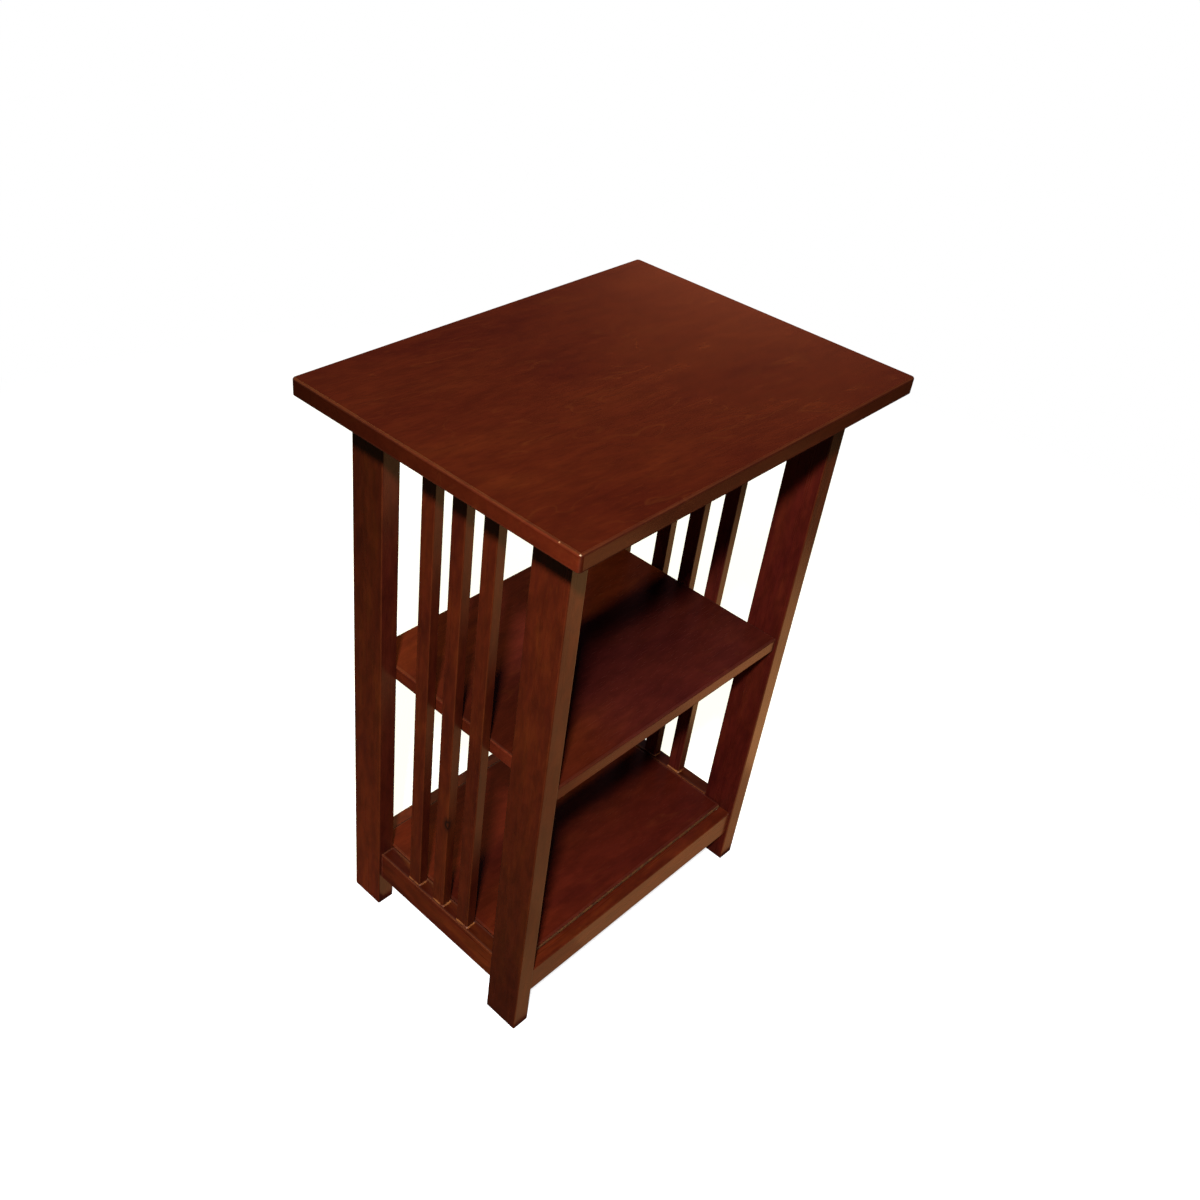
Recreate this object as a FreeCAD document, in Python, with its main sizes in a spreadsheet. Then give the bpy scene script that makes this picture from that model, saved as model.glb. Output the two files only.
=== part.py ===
import FreeCAD, Part
import os
from collections import namedtuple

import Sketcher

# An end table in stained hardwood. Two end frames, each of two flat legs, two
# rails and a row of upright slats, are joined by long rails front and rear.
# A board top lies over them, a board shelf is held between the legs at half
# height, and a panel set inside the lower rails makes the bottom shelf.
# Nothing on the table moves.
#
# Frame: millimetres, +Z up, +X to the right along the open front, +Y to the
# rear. The origin is on the floor, midway between the four feet.

# Driving dimensions, in millimetres except for the count of slats.
SIZES = {
    # Outline of the table
    "table_height": 686,
    "frame_length": 400,  # over the outer faces of the legs, along X
    "frame_width": 278,  # over the outer faces of the legs, along Y
    # Tabletop
    "top_thickness": 18,
    "top_end_overhang": 38,
    "top_side_overhang": 38,
    "top_corner_round": 4,
    "top_upper_round": 2.5,
    "top_lower_round": 1.5,
    # Legs
    "leg_thickness": 22,  # along X
    "leg_breadth": 44,  # along Y
    "leg_edge_round": 1.5,
    "foot_chamfer": 1.5,
    # Rails of the end frames
    "end_rail_thickness": 18,
    "end_rail_recess": 4,  # behind the outer faces of the legs
    "upper_end_rail_height": 36,
    "lower_end_rail_height": 40,
    # Long rails, front and rear
    "long_rail_thickness": 16,
    "long_rail_recess": 3.5,
    "upper_long_rail_height": 36,
    "lower_long_rail_height": 36,
    "lower_rail_clearance": 47,  # floor to the underside of the lower rails
    "rail_edge_round": 1.2,
    # Slats
    "slat_count": 3,
    "slat_pitch": 40,
    "slat_thickness": 12,  # along X
    "slat_breadth": 18,  # along Y
    "slat_edge_round": 1,
    "tenon_length": 12,
    "tenon_shoulder": 2,
    "tenon_clearance": 0.15,
    # Middle shelf
    "shelf_top_height": 366.5,
    "shelf_thickness": 18,
    "shelf_recess": 3,
    "shelf_edge_round": 2,
    # Bottom shelf panel and the cleats under it
    "panel_thickness": 15,
    "panel_gap": 1,
    "panel_edge_round": 1.2,
    "cleat_section": 15,
    "cleat_setback": 12,
    # Dowels
    "dowel_diameter": 8,
    "dowel_length": 30,
    "dowel_chamfer": 1,
    "dowel_clearance": 0.1,
    "cross_dowel_depth": 12,  # in the leg, which is thin that way
    "rail_dowel_pitch": 18,
    "shelf_dowel_pitch": 20,
    # Screws
    "screw_shank_diameter": 4,
    "screw_head_diameter": 8,
    "screw_head_height": 2.6,
    "screw_point": 1.5,
    "screw_rim_chamfer": 0.5,
    "screw_recess_span": 4.6,
    "screw_recess_width": 1.2,
    "screw_recess_depth": 1.6,
    "shank_clearance": 0.2,
    "head_clearance": 0.5,
    "top_screw_grip": 22,  # wood of the rail between head and tabletop
    "top_screw_bite": 12,
    "top_screw_spread": 200,  # between the two screws of a long rail
    "cleat_screw_sink": 3,
    "cleat_screw_bite": 10,
    "long_cleat_screw_pitch": 120,
    "end_cleat_screw_pitch": 80,
    "panel_screw_spread": 184,
    # Depth left free below the end of a dowel, tenon or screw
    "end_spare": 1,
}

SIDES = {"left": -1, "right": 1}
FACES = {"front": -1, "rear": 1}

# The origin plane square to each axis, and the way its normal points.
PLANES = {"x": ("YZ_Plane", 1), "y": ("XZ_Plane", -1), "z": ("XY_Plane", 1)}
DIRECTIONS = {
    "x": FreeCAD.Vector(1, 0, 0),
    "y": FreeCAD.Vector(0, 1, 0),
    "z": FreeCAD.Vector(0, 0, 1),
}
TOLERANCE = 1e-4

# Places that several pieces share, as expressions on the sheet.
TOP_UNDERSIDE = "(Sizes.table_height - Sizes.top_thickness)"

LEG_X = "((Sizes.frame_length - Sizes.leg_thickness) / 2)"
LEG_Y = "((Sizes.frame_width - Sizes.leg_breadth) / 2)"
LEG_INNER_X = "(Sizes.frame_length / 2 - Sizes.leg_thickness)"
LEG_INNER_Y = "(Sizes.frame_width / 2 - Sizes.leg_breadth)"

END_RAIL_INNER_X = "(Sizes.frame_length / 2 - Sizes.end_rail_recess - Sizes.end_rail_thickness)"
END_RAIL_X = f"({END_RAIL_INNER_X} + Sizes.end_rail_thickness / 2)"
END_RAIL_LENGTH = f"(2 * {LEG_INNER_Y})"
UPPER_END_RAIL_Z = f"({TOP_UNDERSIDE} - Sizes.upper_end_rail_height / 2)"
LOWER_END_RAIL_Z = "(Sizes.lower_rail_clearance + Sizes.lower_end_rail_height / 2)"

LONG_RAIL_INNER_Y = "(Sizes.frame_width / 2 - Sizes.long_rail_recess - Sizes.long_rail_thickness)"
LONG_RAIL_Y = f"({LONG_RAIL_INNER_Y} + Sizes.long_rail_thickness / 2)"
LONG_RAIL_LENGTH = f"(2 * {LEG_INNER_X})"
UPPER_LONG_RAIL_Z = f"({TOP_UNDERSIDE} - Sizes.upper_long_rail_height / 2)"
LOWER_LONG_RAIL_Z = "(Sizes.lower_rail_clearance + Sizes.lower_long_rail_height / 2)"

SLAT_BOTTOM = "(Sizes.lower_rail_clearance + Sizes.lower_end_rail_height)"
SLAT_TOP = f"({TOP_UNDERSIDE} - Sizes.upper_end_rail_height)"

SHELF_UNDERSIDE = "(Sizes.shelf_top_height - Sizes.shelf_thickness)"
PANEL_UNDERSIDE = f"({SLAT_BOTTOM} - Sizes.panel_thickness)"
CLEAT_Z = f"({PANEL_UNDERSIDE} - Sizes.cleat_section / 2)"

DOWEL_BORE = "(Sizes.dowel_diameter + 2 * Sizes.dowel_clearance)"
FRAME_DOWEL_SOCKET = "(Sizes.dowel_length / 2 + Sizes.end_spare)"
LEG_CROSS_SOCKET = "(Sizes.cross_dowel_depth + Sizes.end_spare)"
BOARD_CROSS_SOCKET = "(Sizes.dowel_length - Sizes.cross_dowel_depth + Sizes.end_spare)"

SHANK_BORE = "(Sizes.screw_shank_diameter + 2 * Sizes.shank_clearance)"
HEAD_BORE = "(Sizes.screw_head_diameter + 2 * Sizes.head_clearance)"
TOP_SCREW_SEAT = f"({TOP_UNDERSIDE} - Sizes.top_screw_grip)"
TOP_PILOT_DEPTH = "(Sizes.top_screw_bite + Sizes.end_spare)"
CLEAT_SCREW_GRIP = "(Sizes.cleat_section - Sizes.cleat_screw_sink)"
CLEAT_SCREW_SHANK = f"({CLEAT_SCREW_GRIP} + Sizes.cleat_screw_bite)"
CLEAT_PILOT_DEPTH = "(Sizes.cleat_screw_bite + Sizes.end_spare)"

# A row of screws: its name, the axis they lie along, where their heads sit on
# it, whether they point to its plus side, and their centres on the seat.
ScrewRow = namedtuple("ScrewRow", "name axis seat towards_plus centres")


def add_sheet(doc):
    """Write the driving dimensions into a spreadsheet, one aliased cell each."""
    sheet = doc.addObject("Spreadsheet::Sheet", "Sizes")
    for row, (alias, value) in enumerate(SIZES.items(), start=1):
        sheet.set(f"A{row}", alias.replace("_", " "))
        sheet.set(f"B{row}", str(value))
        sheet.setAlias(f"B{row}", alias)
    doc.recompute()


# Features that the pieces are made of


def new_body(doc, label, x="0", y="0", z="0"):
    """Add an empty body whose own origin stands at the given place."""
    body = doc.addObject("PartDesign::Body", label)
    body.Label = label
    body.AllowCompound = True
    for axis, place in (("x", x), ("y", y), ("z", z)):
        body.setExpression(f"Placement.Base.{axis}", place)
    return body


def origin_plane(body, axis):
    """Return the body's origin plane that is square to an axis."""
    role = PLANES[axis][0]
    return next(plane for plane in body.Origin.OriginFeatures if plane.Role == role)


def new_sketch(body, name, axis, place="0"):
    """Add a sketch on the plane square to an axis, at a place along it."""
    sketch = body.newObject("Sketcher::SketchObject", name)
    sketch.AttachmentSupport = (origin_plane(body, axis), [""])
    sketch.MapMode = "FlatFace"
    sketch.setExpression("AttachmentOffset.Base.z", f"{PLANES[axis][1]} * ({place})")
    return sketch


def bind(sketch, constraint, name, expression):
    """Add a constraint to a sketch and tie its value to an expression."""
    sketch.renameConstraint(sketch.addConstraint(constraint), name)
    sketch.setExpression(f"Constraints.{name}", expression)


def draw_rectangle(sketch, tag, across, up, centre=("0", "0")):
    """Draw a rectangle with bound width, height and centre."""
    corners = [FreeCAD.Vector(x, y, 0) for x, y in ((0, 0), (2, 0), (2, 1), (0, 1))]
    lines = []
    for start, end in zip(corners, corners[1:] + corners[:1]):
        lines.append(sketch.addGeometry(Part.LineSegment(start, end), False))
    bottom, right, top, left = lines
    for first, second in zip(lines, lines[1:] + lines[:1]):
        sketch.addConstraint(Sketcher.Constraint("Coincident", first, 2, second, 1))
    for line in (bottom, top):
        sketch.addConstraint(Sketcher.Constraint("Horizontal", line))
    for line in (right, left):
        sketch.addConstraint(Sketcher.Constraint("Vertical", line))
    bind(sketch, Sketcher.Constraint("DistanceX", bottom, 1, bottom, 2, 2), f"across{tag}", across)
    bind(sketch, Sketcher.Constraint("DistanceY", right, 1, right, 2, 1), f"up{tag}", up)
    corner_x = f"{centre[0]} - ({across}) / 2"
    corner_y = f"{centre[1]} - ({up}) / 2"
    bind(sketch, Sketcher.Constraint("DistanceX", -1, 1, bottom, 1, 0), f"from_left{tag}", corner_x)
    bind(sketch, Sketcher.Constraint("DistanceY", -1, 1, bottom, 1, 0), f"from_base{tag}", corner_y)


def draw_circles(sketch, centres, diameter):
    """Draw one circle of bound size at each bound centre."""
    for index, (across, up) in enumerate(centres):
        start = FreeCAD.Vector(index, index, 0)
        circle = sketch.addGeometry(Part.Circle(start, DIRECTIONS["z"], 1), False)
        bind(sketch, Sketcher.Constraint("Diameter", circle, 2), f"bore{index}", diameter)
        bind(sketch, Sketcher.Constraint("DistanceX", -1, 1, circle, 3, index), f"across{index}", across)
        bind(sketch, Sketcher.Constraint("DistanceY", -1, 1, circle, 3, index), f"up{index}", up)


def pad(body, name, sketch, length, axis, towards_plus=True, symmetric=False):
    """Grow a solid from a sketch, towards the plus or minus side of an axis."""
    feature = body.newObject("PartDesign::Pad", name)
    feature.Profile = sketch
    feature.setExpression("Length", length)
    if symmetric:
        feature.SideType = "Symmetric"
    else:
        feature.Reversed = towards_plus != (PLANES[axis][1] > 0)
    return finish(body, feature)


def pocket(body, name, sketch, depth, axis, towards_plus):
    """Cut a sketch into the solid, towards the plus or minus side of an axis."""
    feature = body.newObject("PartDesign::Pocket", name)
    feature.Profile = sketch
    feature.setExpression("Length", depth)
    feature.Reversed = towards_plus == (PLANES[axis][1] > 0)
    return finish(body, feature)


def finish(body, feature):
    """Make a feature the body's last one and work it out."""
    body.Tip = feature
    body.Document.recompute()
    return feature


def block(body, name, axis, across, up, length, symmetric=True):
    """Make a rectangular bar along an axis, centred on the body's origin."""
    sketch = new_sketch(body, f"{name}_section", axis)
    draw_rectangle(sketch, "", across, up)
    return pad(body, name, sketch, length, axis, symmetric=symmetric)


def bores(body, name, axis, place, towards_plus, centres, diameter, depth):
    """Drill round blind holes from a flat face into the solid."""
    sketch = new_sketch(body, f"{name}_centres", axis, place)
    draw_circles(sketch, centres, diameter)
    return pocket(body, name, sketch, depth, axis, towards_plus)


def screw_holes(body, name, axis, place, towards_plus, centres, head_depth):
    """Drill counterbored holes for screws right through a piece."""
    sketch = new_sketch(body, f"{name}_centres", axis, place)
    draw_circles(sketch, centres, SHANK_BORE)
    body.Document.recompute()
    hole = body.newObject("PartDesign::Hole", name)
    hole.Profile = sketch
    body.Document.recompute()
    hole.ThreadType = "None"
    hole.DepthType = "ThroughAll"
    hole.HoleCutType = "Counterbore"
    hole.Reversed = towards_plus == (PLANES[axis][1] > 0)
    hole.setExpression("Diameter", SHANK_BORE)
    hole.setExpression("HoleCutDiameter", HEAD_BORE)
    hole.setExpression("HoleCutDepth", head_depth)
    return finish(body, hole)


def ease(body, name, base, edges, radius):
    """Round the named edges of a feature."""
    feature = body.newObject("PartDesign::Fillet", name)
    feature.Base = (base, edges)
    feature.setExpression("Radius", radius)
    return finish(body, feature)


def bevel(body, name, base, edges, width):
    """Chamfer the named edges of a feature."""
    feature = body.newObject("PartDesign::Chamfer", name)
    feature.Base = (base, edges)
    feature.setExpression("Size", width)
    return finish(body, feature)


def mirror(body, name, axis):
    """Repeat everything made so far on the other side of an origin plane."""
    feature = body.newObject("PartDesign::Mirrored", name)
    feature.TransformMode = "Whole shape"
    feature.MirrorPlane = (origin_plane(body, axis), [""])
    return finish(body, feature)


# Edges to round or chamfer, found by where they lie


def named_edges(feature, wanted):
    """Name the edges of a feature's shape that a test picks out."""
    edges = feature.Shape.Edges
    return [f"Edge{index}" for index, edge in enumerate(edges, start=1) if wanted(edge)]


def edges_along(feature, axis):
    """Name the straight edges that run along an axis."""

    def runs_along(edge):
        if not isinstance(edge.Curve, Part.Line):
            return False
        return abs(edge.tangentAt(edge.FirstParameter).dot(DIRECTIONS[axis])) > 1 - TOLERANCE

    return named_edges(feature, runs_along)


def edges_at_top(feature):
    """Name the edges that lie flat at the top of a feature's shape."""
    return edges_level(feature, feature.Shape.BoundBox.ZMax)


def edges_at_bottom(feature):
    """Name the edges that lie flat at the bottom of a feature's shape."""
    return edges_level(feature, feature.Shape.BoundBox.ZMin)


def edges_level(feature, height):
    """Name the edges that lie flat at a height."""

    def lies_flat(edge):
        box = edge.BoundBox
        return max(abs(box.ZMin - height), abs(box.ZMax - height)) < TOLERANCE

    return named_edges(feature, lies_flat)


def disc_edges(feature, diameter_alias):
    """Name the rims of the plain round end faces of one of the sheet's diameters."""
    radius = SIZES[diameter_alias] / 2
    rims = [face.Edges[0] for face in feature.Shape.Faces if len(face.Edges) == 1]
    rims = [rim for rim in rims if isinstance(rim.Curve, Part.Circle)]
    rims = [rim for rim in rims if abs(rim.Curve.Radius - radius) < TOLERANCE]
    return named_edges(feature, lambda edge: any(edge.isSame(rim) for rim in rims))


# Places of things that repeat


def around(centre, pitch, count=2):
    """Return expressions for a row of places, evenly spaced about a centre."""
    steps = [index - (count - 1) / 2 for index in range(count)]
    return [f"({centre} + {step} * {pitch})" for step in steps]


def slat_places():
    """Return the places of the slats along an end rail."""
    return around("0", "Sizes.slat_pitch", SIZES["slat_count"])


def rail_dowel_heights(rail_middle):
    """Return the heights of the two dowels at each end of a rail."""
    return around(rail_middle, "Sizes.rail_dowel_pitch")


def end_rail_screw_places():
    """Return the places along an upper end rail where it is screwed to the top."""
    return around("0", "Sizes.slat_pitch")


def long_rail_screw_places():
    """Return the places along an upper long rail where it is screwed to the top."""
    return around("0", "Sizes.top_screw_spread")


def top_screw_centres():
    """Return where the screws stand that hold the tabletop."""
    centres = []
    for sign in SIDES.values():
        centres += [(f"{sign} * {END_RAIL_X}", place) for place in end_rail_screw_places()]
    for sign in FACES.values():
        centres += [(place, f"{sign} * {LONG_RAIL_Y}") for place in long_rail_screw_places()]
    return centres


def panel_screw_centres():
    """Return where the screws stand that hold the bottom panel to its long cleats."""
    cleat_y = f"({LONG_RAIL_INNER_Y} - Sizes.cleat_section / 2)"
    places = around("0", "Sizes.panel_screw_spread")
    return [(place, f"{sign} * {cleat_y}") for sign in FACES.values() for place in places]


def long_cleat_screw_places():
    """Return the places of the screws along a long cleat."""
    return around("0", "Sizes.long_cleat_screw_pitch", 3)


def end_cleat_screw_places():
    """Return the places of the screws along an end cleat."""
    return around("0", "Sizes.end_cleat_screw_pitch")


# Boards


def build_tabletop(doc):
    """A board with rounded corners and eased edges, drilled for its screws."""
    body = new_body(doc, "tabletop", z=TOP_UNDERSIDE)
    length = "(Sizes.frame_length + 2 * Sizes.top_end_overhang)"
    width = "(Sizes.frame_width + 2 * Sizes.top_side_overhang)"
    board = block(body, "top_board", "z", length, width, "Sizes.top_thickness", symmetric=False)
    corners = edges_along(board, "z")
    rounded = ease(body, "top_corners", board, corners, "Sizes.top_corner_round")
    eased = ease(body, "top_upper_edge", rounded, edges_at_top(rounded), "Sizes.top_upper_round")
    ease(body, "top_lower_edge", eased, edges_at_bottom(eased), "Sizes.top_lower_round")
    centres = top_screw_centres()
    bores(body, "top_pilots", "z", "0", True, centres, SHANK_BORE, TOP_PILOT_DEPTH)


def build_middle_shelf(doc):
    """A board between the legs, held by dowels in their inner faces."""
    body = new_body(doc, "middle_shelf", z=SHELF_UNDERSIDE)
    depth = "(Sizes.frame_width - 2 * Sizes.shelf_recess)"
    thickness = "Sizes.shelf_thickness"
    board = block(body, "shelf_board", "z", LONG_RAIL_LENGTH, depth, thickness, symmetric=False)
    arrises = edges_at_bottom(board) + edges_at_top(board)
    ease(body, "shelf_edges", board, arrises, "Sizes.shelf_edge_round")
    for side, sign in SIDES.items():
        centres = []
        for face_sign in FACES.values():
            places = around(f"{face_sign} * {LEG_Y}", "Sizes.shelf_dowel_pitch")
            centres += [(place, f"{thickness} / 2") for place in places]
        end = f"{sign} * {LEG_INNER_X}"
        name = f"shelf_{side}_sockets"
        bores(body, name, "x", end, sign < 0, centres, DOWEL_BORE, BOARD_CROSS_SOCKET)


def build_bottom_panel(doc):
    """The bottom shelf's panel, set inside the lower rails on cleats."""
    body = new_body(doc, "bottom_shelf_panel", z=PANEL_UNDERSIDE)
    length = f"(2 * (min({LEG_INNER_X}; {END_RAIL_INNER_X}) - Sizes.panel_gap))"
    width = f"(2 * ({LONG_RAIL_INNER_Y} - Sizes.panel_gap))"
    board = block(body, "panel_board", "z", length, width, "Sizes.panel_thickness", symmetric=False)
    ease(body, "panel_upper_edge", board, edges_at_top(board), "Sizes.panel_edge_round")
    centres = panel_screw_centres()
    bores(body, "panel_pilots", "z", "0", True, centres, SHANK_BORE, CLEAT_PILOT_DEPTH)


# Legs and slats


def build_leg(doc, face, face_sign, side, side_sign):
    """A flat leg, with dowel sockets for its rails and the middle shelf."""
    centre_x = f"{side_sign} * {LEG_X}"
    centre_y = f"{face_sign} * {LEG_Y}"
    body = new_body(doc, f"leg_{face}_{side}", centre_x, centre_y)
    section = ("Sizes.leg_thickness", "Sizes.leg_breadth")
    bar = block(body, "leg_bar", "z", *section, TOP_UNDERSIDE, symmetric=False)
    eased = ease(body, "leg_edges", bar, edges_along(bar, "z"), "Sizes.leg_edge_round")
    bevel(body, "foot_edge", eased, edges_at_bottom(eased), "Sizes.foot_chamfer")

    # Sockets in the face that looks along the table
    rail_across = f"{face_sign} * ({LONG_RAIL_Y} - {LEG_Y})"
    cross = [(place, f"{SHELF_UNDERSIDE} + Sizes.shelf_thickness / 2")
             for place in around("0", "Sizes.shelf_dowel_pitch")]
    for rail_middle in (LOWER_LONG_RAIL_Z, UPPER_LONG_RAIL_Z):
        cross += [(rail_across, height) for height in rail_dowel_heights(rail_middle)]
    inner_x = f"{-side_sign} * Sizes.leg_thickness / 2"
    towards_plus = side_sign > 0
    bores(body, "cross_sockets", "x", inner_x, towards_plus, cross, DOWEL_BORE, LEG_CROSS_SOCKET)

    # Sockets in the edge that looks across the table
    rail_along = f"{side_sign} * ({END_RAIL_X} - {LEG_X})"
    end = []
    for rail_middle in (LOWER_END_RAIL_Z, UPPER_END_RAIL_Z):
        end += [(rail_along, height) for height in rail_dowel_heights(rail_middle)]
    inner_y = f"{-face_sign} * Sizes.leg_breadth / 2"
    towards_plus = face_sign > 0
    bores(body, "end_sockets", "y", inner_y, towards_plus, end, DOWEL_BORE, FRAME_DOWEL_SOCKET)


def build_slat(doc, side, side_sign, number, place):
    """An upright slat with a shouldered tenon at each end."""
    middle = f"({SLAT_BOTTOM} + {SLAT_TOP}) / 2"
    body = new_body(doc, f"slat_{side}_{number}", f"{side_sign} * {END_RAIL_X}", place, middle)
    between = f"({SLAT_TOP} - {SLAT_BOTTOM})"
    bar = block(body, "slat_bar", "z", "Sizes.slat_thickness", "Sizes.slat_breadth", between)
    ease(body, "slat_edges", bar, edges_along(bar, "z"), "Sizes.slat_edge_round")
    thickness = "(Sizes.slat_thickness - 2 * Sizes.tenon_shoulder)"
    breadth = "(Sizes.slat_breadth - 2 * Sizes.tenon_shoulder)"
    block(body, "tenons", "z", thickness, breadth, f"({between} + 2 * Sizes.tenon_length)")


# Rails


def rail_blank(body, axis, across, up, length):
    """Make a rail's bar with its long edges eased."""
    bar = block(body, "rail_bar", axis, across, up, length)
    ease(body, "rail_edges", bar, edges_along(bar, axis), "Sizes.rail_edge_round")


def rail_end_sockets(body, axis, half_length, depth):
    """Drill two dowel sockets into each end of a rail."""
    centres = [("0", height) for height in rail_dowel_heights("0")]
    for name, sign in (("low_end_sockets", -1), ("high_end_sockets", 1)):
        place = f"{sign} * {half_length}"
        bores(body, name, axis, place, sign < 0, centres, DOWEL_BORE, depth)


def cut_mortises(body, place, towards_plus):
    """Cut the mortises for the slats into the top or the underside of an end rail."""
    sketch = new_sketch(body, "mortise_outlines", "z", place)
    thickness = "(Sizes.slat_thickness - 2 * Sizes.tenon_shoulder + 2 * Sizes.tenon_clearance)"
    breadth = "(Sizes.slat_breadth - 2 * Sizes.tenon_shoulder + 2 * Sizes.tenon_clearance)"
    for number, slat_place in enumerate(slat_places(), start=1):
        draw_rectangle(sketch, number, thickness, breadth, ("0", slat_place))
    pocket(body, "mortises", sketch, "(Sizes.tenon_length + Sizes.end_spare)", "z", towards_plus)


def build_lower_end_rail(doc, side, side_sign):
    """The rail that the slats of an end frame stand on."""
    body = new_body(doc, f"lower_end_rail_{side}", f"{side_sign} * {END_RAIL_X}", z=LOWER_END_RAIL_Z)
    rail_blank(body, "y", "Sizes.end_rail_thickness", "Sizes.lower_end_rail_height", END_RAIL_LENGTH)
    rail_end_sockets(body, "y", LEG_INNER_Y, FRAME_DOWEL_SOCKET)
    cut_mortises(body, "Sizes.lower_end_rail_height / 2", False)
    centres = [(place, f"{CLEAT_Z} - {LOWER_END_RAIL_Z}") for place in end_cleat_screw_places()]
    inner = f"{-side_sign} * Sizes.end_rail_thickness / 2"
    towards_plus = side_sign > 0
    bores(body, "cleat_pilots", "x", inner, towards_plus, centres, SHANK_BORE, CLEAT_PILOT_DEPTH)


def build_upper_end_rail(doc, side, side_sign):
    """The rail under the tabletop that holds the upper ends of the slats."""
    body = new_body(doc, f"upper_end_rail_{side}", f"{side_sign} * {END_RAIL_X}", z=UPPER_END_RAIL_Z)
    rail_blank(body, "y", "Sizes.end_rail_thickness", "Sizes.upper_end_rail_height", END_RAIL_LENGTH)
    rail_end_sockets(body, "y", LEG_INNER_Y, FRAME_DOWEL_SOCKET)
    underside = "-Sizes.upper_end_rail_height / 2"
    cut_mortises(body, underside, True)
    centres = [("0", place) for place in end_rail_screw_places()]
    head_depth = "Sizes.upper_end_rail_height - Sizes.top_screw_grip"
    screw_holes(body, "top_screw_holes", "z", underside, True, centres, head_depth)


def build_lower_long_rail(doc, face, face_sign):
    """The rail below the front or rear edge of the bottom shelf."""
    body = new_body(doc, f"lower_long_rail_{face}", y=f"{face_sign} * {LONG_RAIL_Y}", z=LOWER_LONG_RAIL_Z)
    rail_blank(body, "x", "Sizes.long_rail_thickness", "Sizes.lower_long_rail_height", LONG_RAIL_LENGTH)
    rail_end_sockets(body, "x", LEG_INNER_X, BOARD_CROSS_SOCKET)
    centres = [(place, f"{CLEAT_Z} - {LOWER_LONG_RAIL_Z}") for place in long_cleat_screw_places()]
    inner = f"{-face_sign} * Sizes.long_rail_thickness / 2"
    towards_plus = face_sign > 0
    bores(body, "cleat_pilots", "y", inner, towards_plus, centres, SHANK_BORE, CLEAT_PILOT_DEPTH)


def build_upper_long_rail(doc, face, face_sign):
    """The rail that joins the end frames close under the tabletop."""
    body = new_body(doc, f"upper_long_rail_{face}", y=f"{face_sign} * {LONG_RAIL_Y}", z=UPPER_LONG_RAIL_Z)
    rail_blank(body, "x", "Sizes.long_rail_thickness", "Sizes.upper_long_rail_height", LONG_RAIL_LENGTH)
    rail_end_sockets(body, "x", LEG_INNER_X, BOARD_CROSS_SOCKET)
    centres = [(place, "0") for place in long_rail_screw_places()]
    head_depth = "Sizes.upper_long_rail_height - Sizes.top_screw_grip"
    underside = "-Sizes.upper_long_rail_height / 2"
    screw_holes(body, "top_screw_holes", "z", underside, True, centres, head_depth)


# Cleats under the bottom panel


def build_long_cleat(doc, face, face_sign):
    """A strip on the inner face of a long rail that carries the panel."""
    centre_y = f"{face_sign} * ({LONG_RAIL_INNER_Y} - Sizes.cleat_section / 2)"
    body = new_body(doc, f"panel_cleat_{face}", y=centre_y, z=CLEAT_Z)
    length = f"({LONG_RAIL_LENGTH} - 2 * Sizes.cleat_setback)"
    block(body, "cleat_bar", "x", "Sizes.cleat_section", "Sizes.cleat_section", length)
    inner = f"{-face_sign} * Sizes.cleat_section / 2"
    centres = [(place, "0") for place in long_cleat_screw_places()]
    towards_plus = face_sign > 0
    screw_holes(body, "rail_screw_holes", "y", inner, towards_plus, centres, "Sizes.cleat_screw_sink")
    centres = [(place, "0") for place in around("0", "Sizes.panel_screw_spread")]
    underside = "-Sizes.cleat_section / 2"
    screw_holes(body, "panel_screw_holes", "z", underside, True, centres, "Sizes.cleat_screw_sink")


def build_end_cleat(doc, side, side_sign):
    """A strip on the inner face of an end rail that carries the panel."""
    centre_x = f"{side_sign} * ({END_RAIL_INNER_X} - Sizes.cleat_section / 2)"
    body = new_body(doc, f"panel_cleat_{side}", centre_x, z=CLEAT_Z)
    length = f"({END_RAIL_LENGTH} - 2 * Sizes.cleat_setback)"
    block(body, "cleat_bar", "y", "Sizes.cleat_section", "Sizes.cleat_section", length)
    inner = f"{-side_sign} * Sizes.cleat_section / 2"
    centres = [(place, "0") for place in end_cleat_screw_places()]
    towards_plus = side_sign > 0
    screw_holes(body, "rail_screw_holes", "x", inner, towards_plus, centres, "Sizes.cleat_screw_sink")


# Dowels and screws, each group in one node as separate solids


def dowel_row(body, axis, place, centres):
    """Add a row of chamfered dowels, lying along an axis about a place on it."""
    sketch = new_sketch(body, "dowel_ends", axis, place)
    draw_circles(sketch, centres, "Sizes.dowel_diameter")
    pins = pad(body, "dowel_pins", sketch, "Sizes.dowel_length", axis, symmetric=True)
    rims = disc_edges(pins, "dowel_diameter")
    bevel(body, "dowel_chamfers", pins, rims, "Sizes.dowel_chamfer")


def build_frame_dowels(doc, side, side_sign):
    """The dowels that join the rails of one end frame to its legs."""
    body = new_body(doc, f"end_frame_dowels_{side}")
    centres = []
    for rail_middle in (LOWER_END_RAIL_Z, UPPER_END_RAIL_Z):
        heights = rail_dowel_heights(rail_middle)
        centres += [(f"{side_sign} * {END_RAIL_X}", height) for height in heights]
    dowel_row(body, "y", LEG_INNER_Y, centres)
    mirror(body, "front_dowels", "y")


def build_cross_dowels(doc, label, centres):
    """Dowels in the inner faces of the legs, alike at both ends of the table."""
    body = new_body(doc, label)
    middle = f"({LEG_INNER_X} + Sizes.cross_dowel_depth - Sizes.dowel_length / 2)"
    dowel_row(body, "x", middle, centres)
    mirror(body, "left_dowels", "x")


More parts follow.
